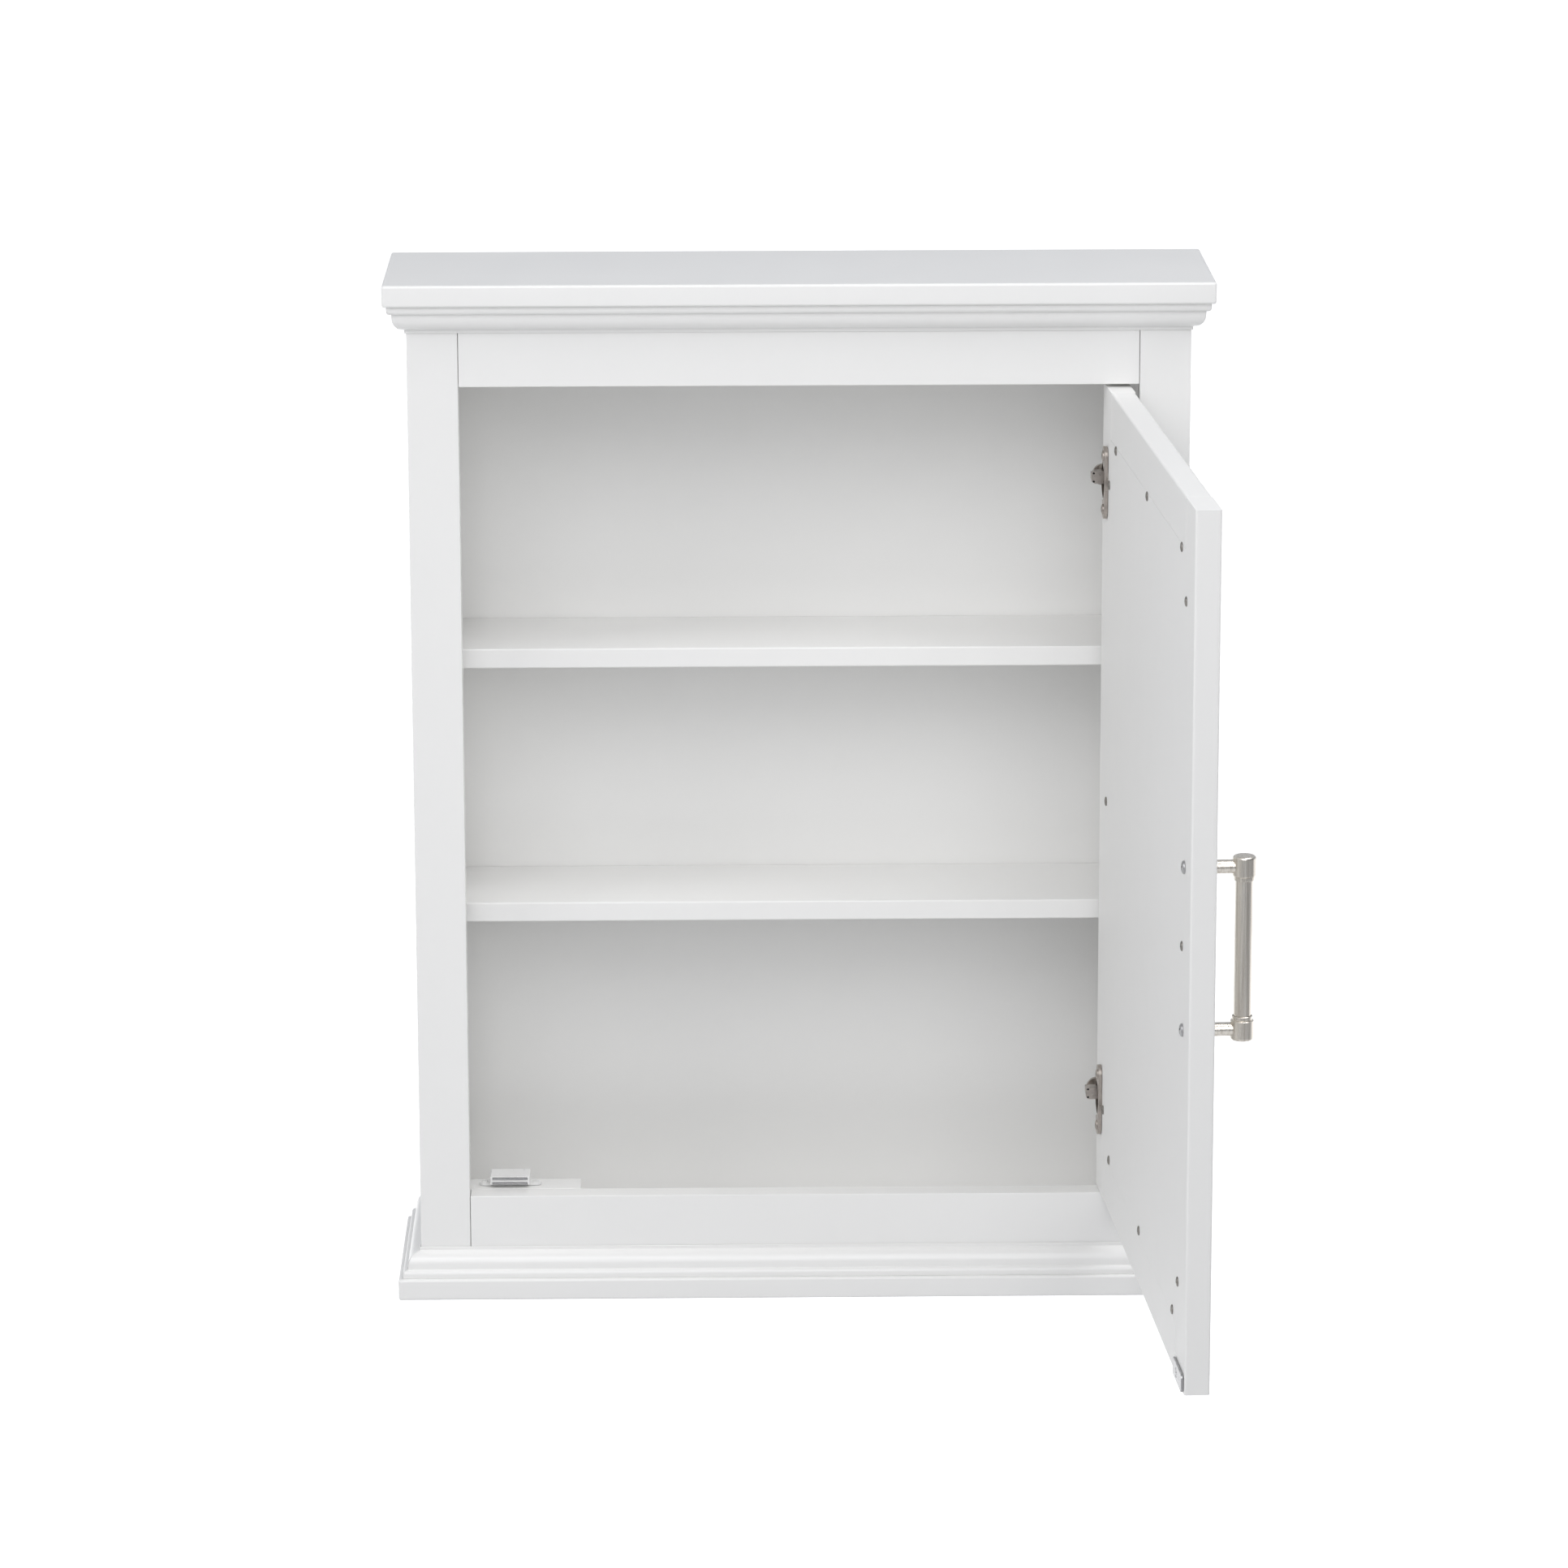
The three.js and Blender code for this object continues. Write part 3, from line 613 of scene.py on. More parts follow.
# How far the edges of each piece are rounded, in millimetres.
EDGE_ROUNDING = {
    "cornice_board": 1.6,
    "base_board": 1.6,
    "shelf_upper": 1.0,
    "shelf_lower": 1.0,
    "side_panel_left": 0.5,
    "side_panel_right": 0.5,
    "bottom_panel": 0.5,
    "top_panel": 0.5,
    "back_panel": 0.3,
    "hanging_rail": 0.8,
    "frame_stile_left": 0.55,
    "frame_stile_right": 0.55,
    "frame_rail_top": 0.55,
    "frame_rail_bottom": 0.55,
    "hinge_block_upper": 0.8,
    "hinge_block_lower": 0.8,
    "catch_block": 0.8,
    "door_stile_hinge": 0.35,
    "door_stile_free": 0.35,
    "door_rail_top": 0.35,
    "door_rail_bottom": 0.35,
    "door_back_panel": 0.12,
    "door_mirror": 0.9,
}


def merged_copy(node):
    """A clean copy of a node's mesh: joined vertices, and flat faces in one piece."""
    shape = bmesh.new()
    shape.from_mesh(frame["nodes"][node].data)
    bmesh.ops.remove_doubles(shape, verts=shape.verts[:], dist=WELD)
    bmesh.ops.dissolve_limit(
        shape, angle_limit=math.radians(0.5), verts=shape.verts[:], edges=shape.edges[:]
    )
    return from_bmesh(f"{node}_finished", shape)


PRESS_FIT = 0.34 * MM  # how much wider and taller the door's back panel is drawn


def pressed_in(panel, node):
    """The panel a hair wider and taller, as it is pressed into its rebate."""
    low, high = closed_box(node)
    centre = Matrix.Translation(middle((low, high)))
    size = high - low
    grow = Matrix.Diagonal((1 + PRESS_FIT / size.x, 1, 1 + PRESS_FIT / size.z, 1))
    return placed(panel, DOOR_TURN @ centre @ grow @ centre.inverted() @ DOOR_TURN.inverted())


def add_boards():
    for node, rounding in EDGE_ROUNDING.items():
        board = merged_copy(node)
        if node == "door_back_panel":
            pressed_in(board, node)
        soften(board, rounding * MM)
        painted_door = BODY_OF[node] == "door" and SLOT_OF[node] == "white_paint"
        # The door's painted pieces take the darker door paint, whose extra darkness is painted shade.
        material = "door_paint" if painted_door else None
        finish_piece(board, BODY_OF[node], SLOT_OF[node], node, material=material)


# ---- Mouldings ----------------------------------------------------------------------------------


def group_input(tree, name, kind):
    return tree.interface.new_socket(name=name, in_out="INPUT", socket_type=kind)


def new_tree(name, inputs):
    """A geometry tree with the given named inputs, and its input and output nodes."""
    tree = bpy.data.node_groups.new(name, "GeometryNodeTree")
    group_input(tree, "Geometry", "NodeSocketGeometry")
    for label, kind in inputs:
        group_input(tree, label, kind)
    tree.interface.new_socket(name="Geometry", in_out="OUTPUT", socket_type="NodeSocketGeometry")
    return tree, tree.nodes.new("NodeGroupInput"), tree.nodes.new("NodeGroupOutput")


def run_tree(piece, tree, values):
    """Runs a tree on a piece with its named inputs set, and returns the plain mesh it makes."""
    modifier = piece.modifiers.new("tree", "NODES")
    modifier.node_group = tree
    for item in tree.interface.items_tree:
        if item.item_type == "SOCKET" and item.in_out == "INPUT" and item.name in values:
            modifier[item.identifier] = values[item.name]
    return frozen(piece)


def moulding_tree():
    """Sweeps a section along x and mitres its ends: an end moves out as far as the section does.

    The sweep turns the section's x and y to -y and -z.
    """
    tree, given, made = new_tree(
        "mitred_moulding",
        [
            ("Start", "NodeSocketFloat"),
            ("End", "NodeSocketFloat"),
            ("Start Mitre", "NodeSocketFloat"),
            ("End Mitre", "NodeSocketFloat"),
            ("Material", "NodeSocketMaterial"),
        ],
    )
    nodes, link = tree.nodes, tree.links.new
    section = nodes.new("GeometryNodeMeshToCurve")
    path = nodes.new("GeometryNodeCurvePrimitiveLine")
    path.inputs["Start"].default_value = (0, 0, 0)
    path.inputs["End"].default_value = (1, 0, 0)
    sweep = nodes.new("GeometryNodeCurveToMesh")
    sweep.inputs["Fill Caps"].default_value = True
    link(given.outputs["Geometry"], section.inputs["Mesh"])
    link(path.outputs["Curve"], sweep.inputs["Curve"])
    link(section.outputs["Curve"], sweep.inputs["Profile Curve"])

    position = nodes.new("GeometryNodeInputPosition")
    apart = nodes.new("ShaderNodeSeparateXYZ")
    link(position.outputs["Position"], apart.inputs["Vector"])

    def maths(operation, *values):
        node = nodes.new("ShaderNodeMath")
        node.operation = operation
        for index, value in enumerate(values):
            if isinstance(value, bpy.types.NodeSocket):
                link(value, node.inputs[index])
            else:
                node.inputs[index].default_value = value
        return node.outputs[0]

    stands_out = maths("MULTIPLY", apart.outputs["Y"], -1.0)
    start = maths("SUBTRACT", given.outputs["Start"],
                  maths("MULTIPLY", stands_out, given.outputs["Start Mitre"]))
    end = maths("ADD", given.outputs["End"],
                maths("MULTIPLY", stands_out, given.outputs["End Mitre"]))
    along = maths("ADD", start, maths("MULTIPLY", apart.outputs["X"], maths("SUBTRACT", end, start)))
    together = nodes.new("ShaderNodeCombineXYZ")
    link(along, together.inputs["X"])
    link(apart.outputs["Y"], together.inputs["Y"])
    link(apart.outputs["Z"], together.inputs["Z"])
    move = nodes.new("GeometryNodeSetPosition")
    link(sweep.outputs["Mesh"], move.inputs["Geometry"])
    link(together.outputs["Vector"], move.inputs["Position"])

    realise = nodes.new("GeometryNodeRealizeInstances")
    paint = nodes.new("GeometryNodeSetMaterial")
    link(move.outputs["Geometry"], realise.inputs["Geometry"])
    link(realise.outputs["Geometry"], paint.inputs["Geometry"])
    link(given.outputs["Material"], paint.inputs["Material"])
    link(paint.outputs["Geometry"], made.inputs["Geometry"])
    return tree


def curve_between(start, handle_1, handle_2, end, steps=10):
    """Points on a cubic curve, without its first."""
    points = []
    for step in range(1, steps + 1):
        t = step / steps
        s = 1 - t
        weights = (s ** 3, 3 * s * s * t, 3 * s * t * t, t ** 3)
        corners = (start, handle_1, handle_2, end)
        points.append(tuple(
            sum(weight * point[axis] for weight, point in zip(weights, corners)) for axis in (0, 1)
        ))
    return points


BOARD_REACH = 0.25 * MM  # just short of the board that a moulding is fixed to


def moulding_section(height):
    """The moulding's section as distance out, against the share of the height below its thick end:
    a bead, a step, an ovolo and a fillet."""
    board = -BOARD_REACH / height
    points = [(0.3, board), (0.3, 1.0), (0.75, 1.0), (0.9, 0.99)]
    points += [(0.9, 0.895), (1.1, 0.88), (1.6, 0.865)]
    points += curve_between((1.6, 0.865), (5.4, 0.83), (8.2, 0.66), (8.4, 0.38))
    points += [(8.4, 0.31)]
    points += curve_between((8.4, 0.31), (8.45, 0.26), (8.7, 0.27), (9.1, 0.27), 4)
    points += curve_between((9.1, 0.27), (10.7, 0.26), (11.5, 0.2), (11.5, 0.1), 8)
    points += [(11.5, board)]
    return [(out * MM, -share * height) for out, share in points]


def section_piece(name, height, up):
    shape = bmesh.new()
    ring = [shape.verts.new((out, -up * z, 0)) for out, z in moulding_section(height)]
    for first, second in zip(ring, ring[1:] + ring[:1]):
        shape.edges.new((first, second))
    return from_bmesh(name, shape)


def welded(piece):
    """Joins the vertices that meet, and turns every face outwards."""
    shape = bmesh.new()
    shape.from_mesh(piece.data)
    bmesh.ops.remove_doubles(shape, verts=shape.verts[:], dist=WELD)
    bmesh.ops.recalc_face_normals(shape, faces=shape.faces[:])
    shape.to_mesh(piece.data)
    shape.free()
    return piece


def add_mouldings():
    tree = moulding_tree()
    half = -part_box("frame_stile_left")[0].x
    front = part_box("frame_stile_left")[0].y
    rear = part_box("side_panel_left")[1].y
    for kind, up in (("cornice_moulding", 1), ("base_moulding", -1)):
        low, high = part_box(f"{kind}_front")
        thick_end = high.z if up > 0 else low.z
        height = high.z - low.z
        # Where each run starts and ends, which of its ends are mitred, and how it is turned.
        runs = {
            "front": (-half + GAP, half - GAP, 1, 1, Matrix.Translation((0, front, thick_end))),
            "right": (front, rear, 1, 0,
                      axes(Vector((half, 0, thick_end)), Y, -X, Z)),
            "left": (-rear, -front, 0, 1,
                     axes(Vector((-half, 0, thick_end)), -Y, X, Z)),
        }
        for side, (start, end, start_mitre, end_mitre, matrix) in runs.items():
            node = f"{kind}_{side}"
            values = {
                "Start": start,
                "End": end,
                "Start Mitre": float(start_mitre),
                "End Mitre": float(end_mitre),
                "Material": MATERIALS["white_paint"],
            }
            piece = run_tree(section_piece(f"{node}_finished", height, up), tree, values)
            placed(welded(piece), matrix)
            soften(piece, 0.18 * MM, **FINE_EDGE)
            finish_piece(piece, "cabinet", "white_paint", node)


# ---- Screws -------------------------------------------------------------------------------------


def screw_tree():
    """Sets a screw on every point, along a direction, each turned by its own amount."""
    tree, given, made = new_tree(
        "set_screws",
        [
            ("Screw", "NodeSocketObject"),
            ("Direction", "NodeSocketVector"),
            ("Seed", "NodeSocketInt"),
            ("Material", "NodeSocketMaterial"),
        ],
    )
    nodes, link = tree.nodes, tree.links.new
    screw = nodes.new("GeometryNodeObjectInfo")
    link(given.outputs["Screw"], screw.inputs["Object"])
    aim = nodes.new("FunctionNodeAlignRotationToVector")
    aim.axis = "Z"
    link(given.outputs["Direction"], aim.inputs["Vector"])
    on_points = nodes.new("GeometryNodeInstanceOnPoints")
    link(given.outputs["Geometry"], on_points.inputs["Points"])
    link(screw.outputs["Geometry"], on_points.inputs["Instance"])
    link(aim.outputs["Rotation"], on_points.inputs["Rotation"])
    chance = nodes.new("FunctionNodeRandomValue")
    chance.data_type = "FLOAT"
    chance.inputs["Min"].default_value = 0.0
    chance.inputs["Max"].default_value = math.pi / 2
    link(given.outputs["Seed"], chance.inputs["Seed"])
    turn = nodes.new("ShaderNodeCombineXYZ")
    amount = [socket for socket in chance.outputs if socket.enabled][0]
    link(amount, turn.inputs["Z"])
    spin = nodes.new("GeometryNodeRotateInstances")
    link(on_points.outputs["Instances"], spin.inputs["Instances"])
    link(turn.outputs["Vector"], spin.inputs["Rotation"])
    realise = nodes.new("GeometryNodeRealizeInstances")
    paint = nodes.new("GeometryNodeSetMaterial")
    link(spin.outputs["Instances"], realise.inputs["Geometry"])
    link(realise.outputs["Geometry"], paint.inputs["Geometry"])
    link(given.outputs["Material"], paint.inputs["Material"])
    link(paint.outputs["Geometry"], made.inputs["Geometry"])
    return tree


# Each kind of screw: its head's radius and rise, its shank's radius, and its length, in millimetres.
SCREW_SIZES = {
    "panel": (2.9, 1.1, 1.2, 10),
    "handle": (3.9, 2.0, 1.9, 18),
    "catch": (2.2, 0.8, 1.2, 9),
    "strike": (2.6, 1.0, 1.2, 8),
    "hinge_flange": (3.3, 1.3, 1.3, 10),
    "hinge_plate": (2.2, 1.1, 1.1, 8),
}
DOME_ANGLES = (20, 40, 58, 74, 86)
SCREW_POINT = 1.2 * MM
# The cross recess: its reach and width as shares of the head's radius, its depth of the head's rise.
RECESS = {"reach": 0.62, "width": 0.2, "depth": 0.75}


def screw_pattern(kind, domed=True):
    """One screw along z, with its head's seat at z = 0 and a cross recess."""
    head, rise, shank, length = (size * MM for size in SCREW_SIZES[kind])
    if domed:
        profile = [(0, rise)] + [
            (head * math.sin(a), rise * (0.3 + 0.7 * math.cos(a)))
            for a in (math.radians(angle) for angle in DOME_ANGLES)
        ]
        profile += [(head, rise * 0.12), (head * 0.97, 0), (shank, 0)]
    else:
        profile = [(0, 0), (head * 0.92, 0), (head, -0.12 * rise), (shank, -rise)]
    profile += [(shank, -length + SCREW_POINT), (shank * 0.3, -length), (0, -length)]
    screw = turned("screw_pattern", profile, steps=24)
    top = rise if domed else 0
    reach, width, depth = head * RECESS["reach"], head * RECESS["width"], rise * RECESS["depth"]
    tools = []
    for x, y in ((reach, width / 2), (width / 2, reach)):
        tools.append(block("recess", (-x, -y, top - depth), (x, y, top + MM)))
    return smoothed(cut_from(screw, tools), 32)


# The pivots that show on each hinge arm: from the leg's end, into its face, from its middle, and size.
PIVOT = {"inset": 1.4 * MM, "sink": 0.25 * MM, "apart": 2.6 * MM, "radius": 0.75 * MM, "rise": 0.35 * MM}


def rivet_pattern():
    radius, rise = PIVOT["radius"], PIVOT["rise"]
    profile = [
        (0, -rise), (radius, -rise), (radius, rise * 0.6), (radius * 0.6, rise), (0, rise),
    ]
    return smoothed(turned("rivet_pattern", profile, steps=16), 50)


def add_screws(name, tree, pattern, places, direction, seed, body, slot, nodes=(), material=None):
    """Sets the pattern on every place, and finishes them all as one piece."""
    points = bpy.data.meshes.new(name)
    points.from_pydata([tuple(place) for place in places], [], [])
    values = {
        "Screw": pattern,
        "Direction": tuple(direction),
        "Seed": seed,
        "Material": MATERIALS[material or slot],
    }
    screws = run_tree(linked(name, points), tree, values)
    bpy.data.objects.remove(pattern)
    if body == "door":
        placed(screws, DOOR_TURN)
    return finish_piece(screws, body, slot, *nodes, material=material)


HEAD_LIFT = 0.05 * MM  # a domed head stands this far off its seat
COUNTERSINK = 0.1 * MM  # a flat head, or one in a dished flange, sits this far in
PLATE_SCREW = {"front": 6 * MM, "rear": 4 * MM, "across": 8.4 * MM, "sink": 0.03 * MM}
LEVELS = ("upper", "lower")


def seats_on_door_back(nodes):
    """The seats of screws whose heads are on the back panel of the door."""
    back = closed_box("door_back_panel")[1].y
    centres = [middle(closed_box(node)) for node in nodes]
    return [(centre.x, back + HEAD_LIFT, centre.z) for centre in centres]


def add_door_back_screws(tree):
    panel_nodes = [f"panel_screw_{index}" for index in range(1, 13)]
    seats = seats_on_door_back(panel_nodes)
    add_screws("panel_screws", tree, screw_pattern("panel"), seats, Y, 3, "door", "zinc_steel",
               panel_nodes, material="screw_steel")
    handle_nodes = ["handle_screw_top", "handle_screw_bottom"]
    seats = seats_on_door_back(handle_nodes)
    add_screws("handle_screws", tree, screw_pattern("handle"), seats, Y, 8, "door", "zinc_steel",
               handle_nodes)


def add_catch_screws(tree):
    nodes = ["catch_screw_left", "catch_screw_right"]
    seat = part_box("catch_housing")[0].z + CATCH["ear"]
    centres = [middle(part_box(node)) for node in nodes]
    seats = [(centre.x, centre.y, seat) for centre in centres]
    add_screws("catch_screws", tree, screw_pattern("catch"), seats, Z, 5, "cabinet", "zinc_steel",
               nodes, material="lacquered_steel")


def add_strike_screw(tree):
    centre = middle(closed_box("strike_screw"))
    seat = closed_box("strike_plate")[1].y - COUNTERSINK
    pattern = screw_pattern("strike", domed=False)
    add_screws("strike_fixing", tree, pattern, [(centre.x, seat, centre.z)], Y, 2, "door",
               "zinc_steel", ["strike_screw"])


def add_hinge_flange_screws(tree):
    ear = HINGE["ear"]
    seats = []
    for level in LEVELS:
        low, high = closed_box(f"hinge_cup_{level}")
        reach = (high.z - low.z) / 2 - ear
        for end in (-1, 1):
            height = (low.z + high.z) / 2 + end * reach
            seats.append((low.x + ear, high.y - COUNTERSINK, height))
    add_screws("hinge_flange_screws", tree, screw_pattern("hinge_flange"), seats, Y, 6, "door",
               "hinge_nickel")


def add_hinge_rivets(tree):
    seats = []
    for level in LEVELS:
        low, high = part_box(f"hinge_arm_{level}")
        leg_middle = (low.z + high.z) / 2 + sum(HINGE["leg_height"]) / 2
        for end in (-1, 1):
            seats.append((low.x + PIVOT["inset"], PIN.y - HINGE["eye"] + PIVOT["sink"],
                          leg_middle + end * PIVOT["apart"]))
    # The rivets are nearly black: painted shade for the pivot holes.
    add_screws("hinge_rivets", tree, rivet_pattern(), seats, -Y, 7, "cabinet", "dark_steel")


def add_hinge_plate_screws(tree):
    seats = []
    for level in LEVELS:
        low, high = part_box(f"hinge_plate_{level}")
        centre = (low.z + high.z) / 2
        for y in (low.y + PLATE_SCREW["front"], high.y - PLATE_SCREW["rear"]):
            for side in (1, -1):
                height = centre + side * PLATE_SCREW["across"]
                seats.append((low.x - PLATE_SCREW["sink"], y, height))
    add_screws("hinge_plate_screws", tree, screw_pattern("hinge_plate"), seats, -X, 4, "cabinet",
               "hinge_nickel")


def add_all_screws():
    tree = screw_tree()
    add_door_back_screws(tree)
    add_catch_screws(tree)
    add_strike_screw(tree)
    add_hinge_flange_screws(tree)
    add_hinge_rivets(tree)
    add_hinge_plate_screws(tree)


# ---- Hinges -------------------------------------------------------------------------------------


HINGE = {
    "ear": 6 * MM,
    "ring": 1 * MM,
    "sheet": 2.2 * MM,
    "wall": 1 * MM,
    "cup_corner": 1.2 * MM,
    "rim_edge": 0.3 * MM,
    "eye": 3.4 * MM,
    "pin_hole": 1.75 * MM,
    "leg": 4 * MM,
    "leg_corner": 1.2 * MM,
    "leg_round": 2.6 * MM,
    "leg_height": (-2.4 * MM, 5.4 * MM),
    "shank_height": (-2.4 * MM, 2 * MM),
    "nose_reach": 13.5 * MM,
    "nose": 6.6 * MM,
    "bridge": (13.9 * MM, 16.9 * MM),
    "tail": 2.6 * MM,
    "tail_width": 11 * MM,
    "tail_slot": (16 * MM, 7 * MM, 2.1 * MM),  # its front and rear from the tail's end, half its width
    "slot_corner": 2 * MM,
    "inset": 0.4 * MM,  # the shank inside the leg's outline
    "overlap": 1 * MM,  # of the shank and the tail into the bridge
    "bridge_short": 0.6 * MM,  # of the bridge from the tail's far face
    "plate_corner": 4 * MM,
    "plate_hole": (12 * MM, 2.2 * MM),  # from the plate's front edge, and its radius
}
PIN_CHAMFER = 0.3 * MM


def add_hinge_cup(level):
    """A pressed cup with a flange: two ears with one straight side, and a thin ring round the cup."""
    node = f"hinge_cup_{level}"
    low, high = closed_box(node)
    radius = (high.x - low.x) / 2
    centre = Vector((low.x + radius, 0, (low.z + high.z) / 2))
    ear = HINGE["ear"]
    sheet = HINGE["sheet"]
    seat = high.y - sheet
    floor = low.y
    inner = radius - HINGE["wall"]
    reach = (high.z - low.z) / 2 - ear
    side = centre.x - radius
    ears_edge = (
        arc((side + ear, centre.z + reach), ear, 0, 180, 14)
        + arc((side + ear, centre.z - reach), ear, 180, 360, 14)
    )
    ears = plate("ears", [ears_edge], sheet)
    placed(ears, axes(Vector((0, high.y, 0)), X, Z, -Y))
    rim = seat + HINGE["ring"] - floor
    corner, edge, wall = HINGE["cup_corner"], HINGE["rim_edge"], HINGE["wall"]
    bowl = turned("bowl", [
        (0, 0), (radius - corner, 0), (radius, corner), (radius, rim - edge),
        (radius - edge, rim), (0, rim),
    ], steps=56)
    placed(bowl, axes(Vector((centre.x, floor, centre.z)), X, -Z, Y))
    past_rim = rim + 5 * MM
    hollow = turned("hollow", [
        (0, wall), (inner - corner, wall), (inner, wall + corner), (inner, past_rim), (0, past_rim),
    ], steps=56)
    placed(hollow, axes(Vector((centre.x, floor, centre.z)), X, -Z, Y))
    cup = cut_from(united(f"{node}_finished", [ears, bowl]), [hollow])
    placed(cup, DOOR_TURN)
    soften(cup, 0.3 * MM, **FINE_EDGE)
    finish_piece(cup, "door", "hinge_nickel", node)


def add_hinge_pin(level):
    node = f"hinge_pin_{level}"
    low, high = closed_box(node)
    centre = middle((low, high))
    profile = rod_profile((high.x - low.x) / 2, high.z - low.z, PIN_CHAMFER)
    pin = turned(f"{node}_finished", profile, steps=24)
    placed(pin, DOOR_TURN @ Matrix.Translation((centre.x, centre.y, low.z)))
    finish_piece(smoothed(pin, 30), "door", "zinc_steel", node)


def hinge_leg(left, bottom, top):
    """The leg with its eye on the pin. Its free end is round as seen from the front."""
    eye, corner = HINGE["eye"], HINGE["leg_corner"]
    outline = (
        arc((PIN.x, PIN.y), eye, -90, 90, 14)
        + arc((left + corner, PIN.y + eye - corner), corner, 90, 180, 5)
        + arc((left + corner, PIN.y - eye + corner), corner, 180, 270, 5)
    )
    pin_hole = circle((PIN.x, PIN.y), HINGE["pin_hole"], 20)
    leg = placed(plate("leg", [outline, pin_hole], top - bottom), Matrix.Translation((0, 0, bottom)))
    front_view = rounded_rectangle((left, PIN.x + 2 * eye), (bottom, top), HINGE["leg_round"], 8)
    rounding = plate("rounding", [front_view], 4 * eye)
    placed(rounding, axes(Vector((0, PIN.y + 2 * eye, 0)), X, Z, -Y))
    return kept_inside(leg, rounding)


def hinge_tail(centre, front, right, rear):
    """The tail along the plate, with a slot near its round end."""
    half, thick = HINGE["tail_width"] / 2, HINGE["tail"]
    slot_front, slot_rear, slot_half = HINGE["tail_slot"]
    outline = [(front, centre - half), (front, centre + half)]
    outline += arc((rear - half, centre), half, 90, -90, 12)
    slot = rounded_rectangle(
        (rear - slot_front, rear - slot_rear), (centre - slot_half, centre + slot_half),
        HINGE["slot_corner"],
    )
    tail = plate("tail", [outline, slot], thick)
    return placed(tail, axes(Vector((right - thick, 0, 0)), Y, Z, X))


def add_hinge_arm(level):
    """The fixed arm: an eye on the pin, a leg out of the cup, a round-nosed bridge, and a tail that
    lies along the plate."""
    node = f"hinge_arm_{level}"
    low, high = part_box(node)
    centre = (low.z + high.z) / 2
    left, right = low.x, high.x
    front, back = (PIN.y + edge for edge in HINGE["bridge"])
    bottom, top = (centre + height for height in HINGE["leg_height"])
    leg = hinge_leg(left, bottom, top)
    low_shank, high_shank = (centre + height for height in HINGE["shank_height"])
    inset, into_bridge = HINGE["inset"], front + HINGE["overlap"]
    shank = block("shank", (left + inset, PIN.y, low_shank + inset),
                  (left + HINGE["leg"], into_bridge, high_shank))
    nose = HINGE["nose"]
    nose_x = PIN.x - HINGE["nose_reach"] + nose
    edge = right - HINGE["bridge_short"]
    outline = arc((nose_x, centre), nose, 90, 270, 20)
    outline += [(edge, centre - nose), (edge, centre + nose)]
    bridge = plate("bridge", [outline], back - front)
    placed(bridge, axes(Vector((0, back, 0)), X, Z, -Y))
    tail = hinge_tail(centre, into_bridge, right, high.y)
    arm = united(f"{node}_finished", [leg, shank, bridge, tail])
    soften(arm, 0.35 * MM, **FINE_EDGE)
    finish_piece(arm, "cabinet", "hinge_nickel", node)


def add_hinge_plate(level):
    node = f"hinge_plate_{level}"
    low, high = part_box(node)
    hole_place, hole_radius = HINGE["plate_hole"]
    body = plate(f"{node}_finished", [
        rounded_rectangle((low.y, high.y), (low.z, high.z), HINGE["plate_corner"]),
        circle((low.y + hole_place, (low.z + high.z) / 2), hole_radius, 16),
    ], high.x - low.x)
    placed(body, axes(Vector((low.x, 0, 0)), Y, Z, X))
    soften(body, 0.4 * MM, **FINE_EDGE)
    finish_piece(body, "cabinet", "hinge_nickel", node)


# ---- Handle -------------------------------------------------------------------------------------


HANDLE = {
    "outer": 6.7 * MM,  # radius of the sleeve
    "collar": 5.9 * MM,
    "post": 4.05 * MM,
    "clearance": 0.3 * MM,  # between the sleeve's bore and the bar
    "out": 6.4 * MM,  # the sleeve past the post's middle, and towards the bar
    "inward": 5.4 * MM,
    "neck": 2.7 * MM,
    "cap": 2 * MM,
    "round_over": 1.7 * MM,
    "groove": (0.25 * MM, 0.4 * MM, 0.5 * MM),  # its depth, and how far down it is full and ends
    "edge": 0.3 * MM,
    "post_edge": 0.2 * MM,
}


def add_handle():
    low, high = closed_box("handle_bar")
    centre = middle((low, high))
    radius = (high.x - low.x) / 2
    profile = rod_profile(radius, high.z - low.z, HANDLE["edge"])
    bar = turned("handle_bar_finished", profile, steps=56)
    placed(bar, DOOR_TURN @ Matrix.Translation((centre.x, centre.y, low.z)))
    finish_piece(smoothed(bar, 30), "door", "brushed_nickel", "handle_bar")
    for end, up in (("top", 1), ("bottom", -1)):
        add_handle_end(end, up, centre, radius)


def handle_sleeve(bore):
    """A capped sleeve along z, its cap upwards, with a collar below and the post's middle at 0."""
    outer, collar, edge = HANDLE["outer"], HANDLE["collar"], HANDLE["edge"]
    out, inward, round_over = HANDLE["out"], HANDLE["inward"], HANDLE["round_over"]
    depth, full, ends = HANDLE["groove"]
    end_of_neck = -inward - HANDLE["neck"]
    inside = out - HANDLE["cap"]
    return turned("sleeve", [
        (bore, end_of_neck), (collar - edge, end_of_neck), (collar, end_of_neck + edge),
        (collar, -inward - ends), (collar - depth, -inward - full),
        (collar - depth, -inward), (outer - edge, -inward), (outer, -inward + edge),
        *arc((outer - round_over, out - round_over), round_over, 0, 75, 6),
        (outer - round_over - 0.5 * MM, out), (0, out),
        (0, inside), (bore, inside), (bore, end_of_neck),
    ], steps=64)


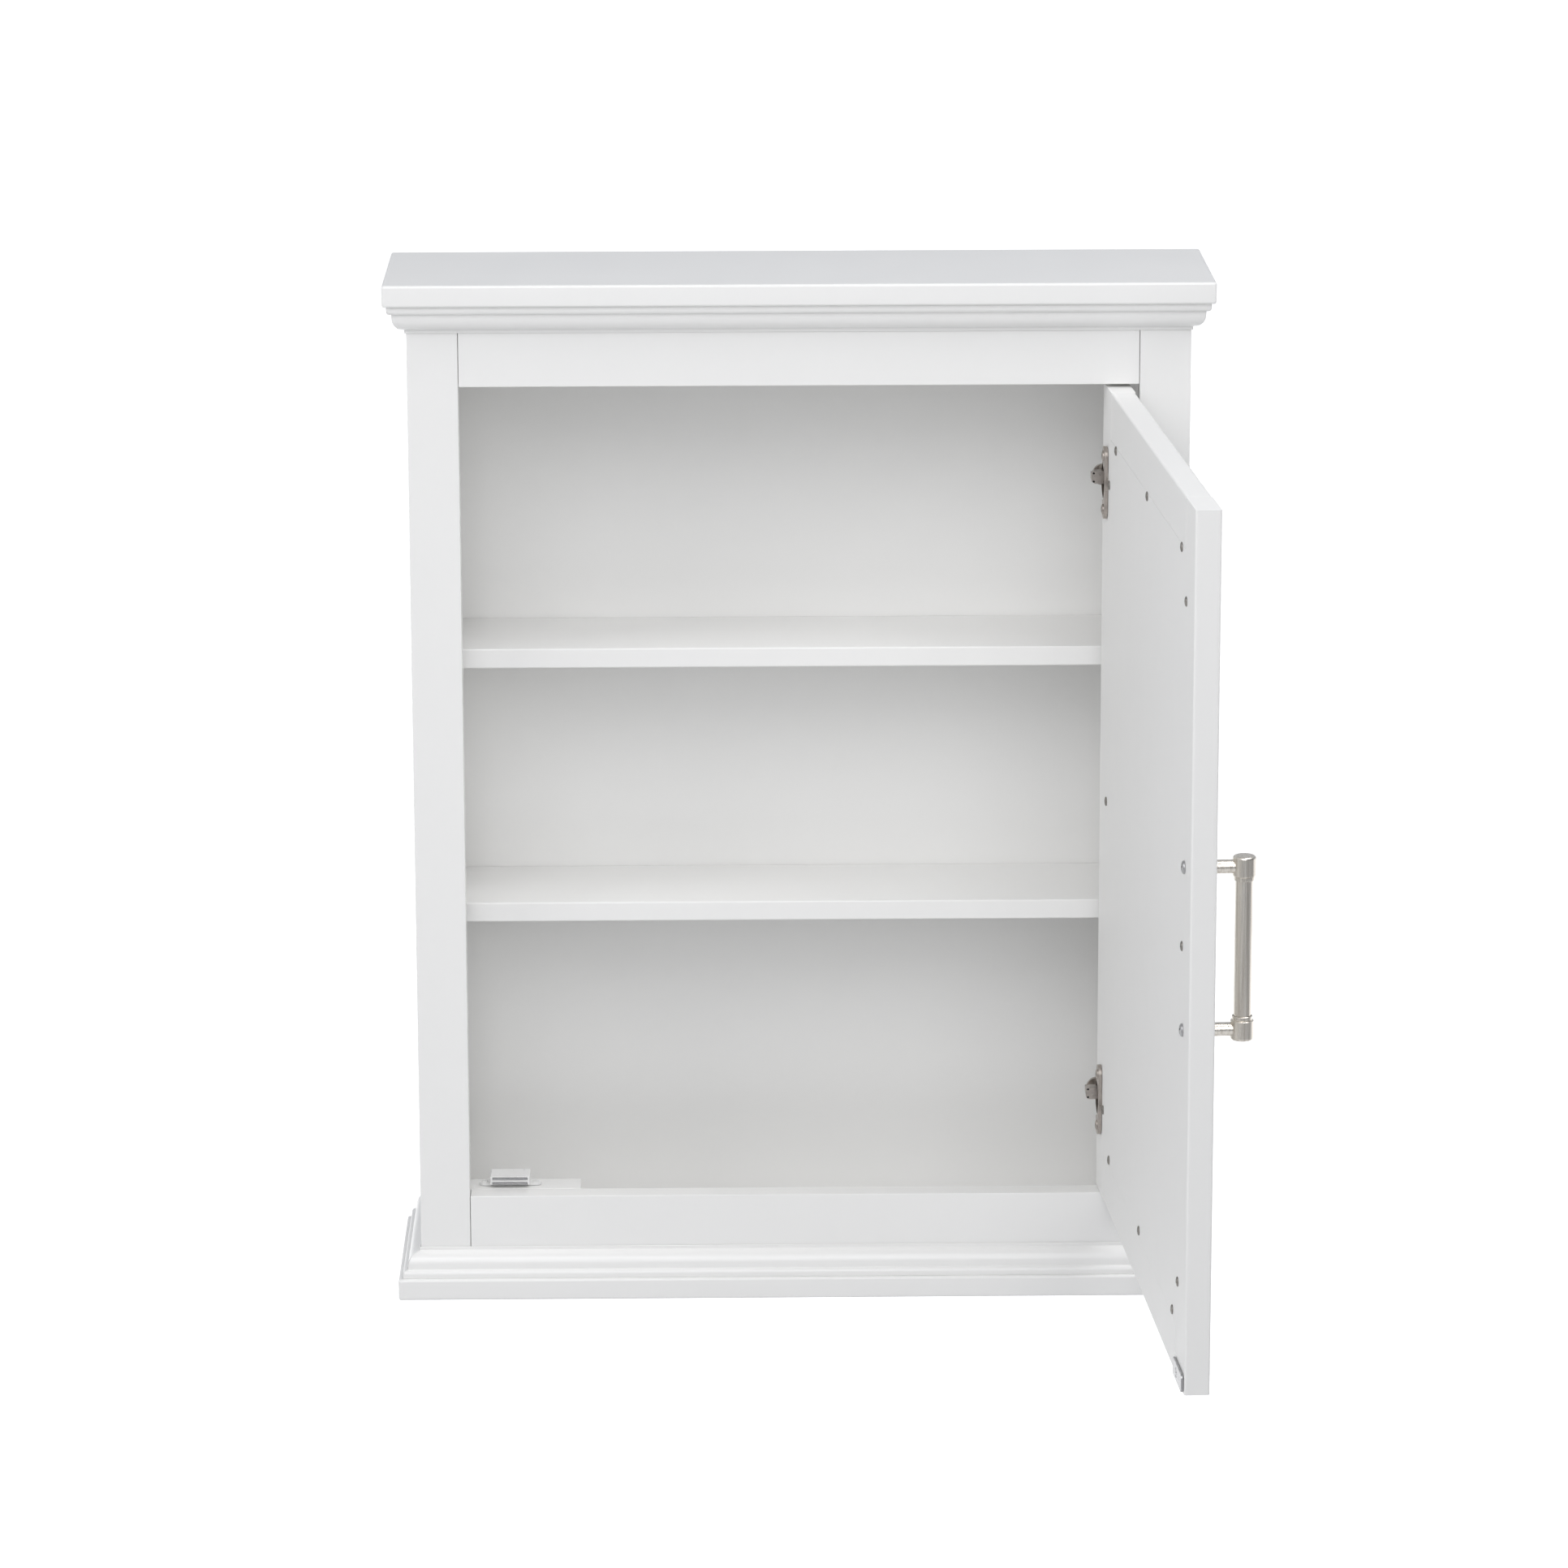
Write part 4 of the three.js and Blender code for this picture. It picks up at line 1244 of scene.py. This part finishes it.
def add_handle_end(end, up, bar, bar_radius):
    """A capped sleeve with a collar, on a plain post."""
    node = f"handle_end_{end}"
    low, high = closed_box(node)
    bore = bar_radius + HANDLE["clearance"]
    sleeve = handle_sleeve(bore)
    tip = high.z if up > 0 else low.z
    z = tip - up * HANDLE["out"]
    turn = Matrix.Identity(4) if up > 0 else Matrix.Rotation(math.pi, 4, "X")
    placed(sleeve, Matrix.Translation((bar.x, bar.y, z)) @ turn)
    radius, edge, face = HANDLE["post"], HANDLE["post_edge"], high.y
    reach = face - bar.y - bore - edge
    profile = [(0, 0), (radius - edge, 0), (radius, edge), (radius, reach), (0, reach)]
    post = turned("post", profile, steps=48)
    placed(post, axes(Vector((bar.x, face, z)), X, Z, -Y))
    whole = united(f"{node}_finished", [sleeve, post])
    placed(whole, DOOR_TURN)
    soften(whole, 0.15 * MM, **FINE_EDGE)
    finish_piece(whole, "door", "brushed_nickel", node)


# ---- Catch --------------------------------------------------------------------------------------


CATCH = {
    "half": 12.7 * MM,
    "lift": 1.5 * MM,
    "ear": 1.6 * MM,
    "ear_half": 3.4 * MM,
    "screw_hole": 1.6 * MM,
    "pole": 1 * MM,
    "slot": 12 * MM,
}
# The grooves between the ribs. The first's place and the step are in millimetres.
RIBS = {"count": 4, "first": 3.2, "step": 3.6, "width": 1.3 * MM, "depth": 0.55 * MM, "foot": 0.8 * MM}


def catch_ears(low, high):
    """The thin plate under the housing, with a screw hole in each end."""
    half = CATCH["ear_half"]
    middle_y = middle(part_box("catch_screw_left")).y
    holes = [
        circle((middle(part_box(f"catch_screw_{side}")).x, middle_y), CATCH["screw_hole"], 16)
        for side in ("left", "right")
    ]
    # A hair less than half round, so that the ends keep a straight edge.
    corner = half - 0.01 * MM
    outline = rounded_rectangle((low.x, high.x), (middle_y - half, middle_y + half), corner, 8)
    ears = plate("ears", [outline, *holes], CATCH["ear"])
    return placed(ears, Matrix.Translation((0, 0, low.z)))


def magnet_slots(low):
    """What is cut out of the housing for the magnet and its two poles."""
    magnet_low, magnet_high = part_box("catch_magnet")
    tools = []
    for bottom in (magnet_low.z, magnet_high.z - CATCH["pole"]):
        tools.append(block(
            "pole_slot",
            (magnet_low.x - GAP, low.y - MM, bottom - GAP),
            (magnet_high.x + GAP, magnet_high.y + GAP, bottom + CATCH["pole"] + GAP),
        ))
    tools.append(block(
        "magnet_slot",
        (magnet_low.x - GAP, low.y + CATCH["slot"] - GAP, magnet_low.z),
        (magnet_high.x + GAP, magnet_high.y + GAP, magnet_high.z),
    ))
    return tools


def rib_grooves(edges, low, high):
    foot = low.z + CATCH["ear"] + RIBS["foot"]
    depth = RIBS["depth"]
    tools = []
    for edge in edges:
        for rib in range(RIBS["count"]):
            y = low.y + (RIBS["first"] + RIBS["step"] * rib) * MM
            tools.append(block("rib_groove", (edge - depth, y, foot),
                               (edge + depth, y + RIBS["width"], high.z + MM)))
    return tools


def add_catch():
    """A housing on two ears, its side faces ribbed for a thumb and finger, and slots for the poles."""
    low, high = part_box("catch_housing")
    left, right = (middle((low, high)).x + side * CATCH["half"] for side in (-1, 1))
    body = block("body", (left, low.y, low.z + CATCH["lift"]), (right, high.y, high.z))
    soften(body, 0.7 * MM, segments=4)
    housing = united("catch_housing_finished", [frozen(body), catch_ears(low, high)])
    housing = cut_from(housing, magnet_slots(low) + rib_grooves((left, right), low, high))
    soften(housing, 0.16 * MM, **FINE_EDGE)
    finish_piece(housing, "cabinet", "white_plastic", "catch_housing")


def add_catch_steel():
    """The magnet with its poles, and the strike plate that they hold."""
    magnet = soften(merged_copy("catch_magnet"), 0.2 * MM, segments=2)
    finish_piece(magnet, "cabinet", "dark_steel", "catch_magnet", material="pole_steel")
    strike = soften(merged_copy("strike_plate"), 0.3 * MM, **FINE_EDGE)
    finish_piece(strike, "door", "zinc_steel", "strike_plate")


# ---- Everything ---------------------------------------------------------------------------------

add_camera()
add_light()
add_floor()
add_boards()
add_mouldings()
for hinge_level in LEVELS:
    add_hinge_cup(hinge_level)
    add_hinge_pin(hinge_level)
    add_hinge_arm(hinge_level)
    add_hinge_plate(hinge_level)
add_handle()
add_catch()
add_catch_steel()
add_all_screws()

bpy.context.view_layer.update()
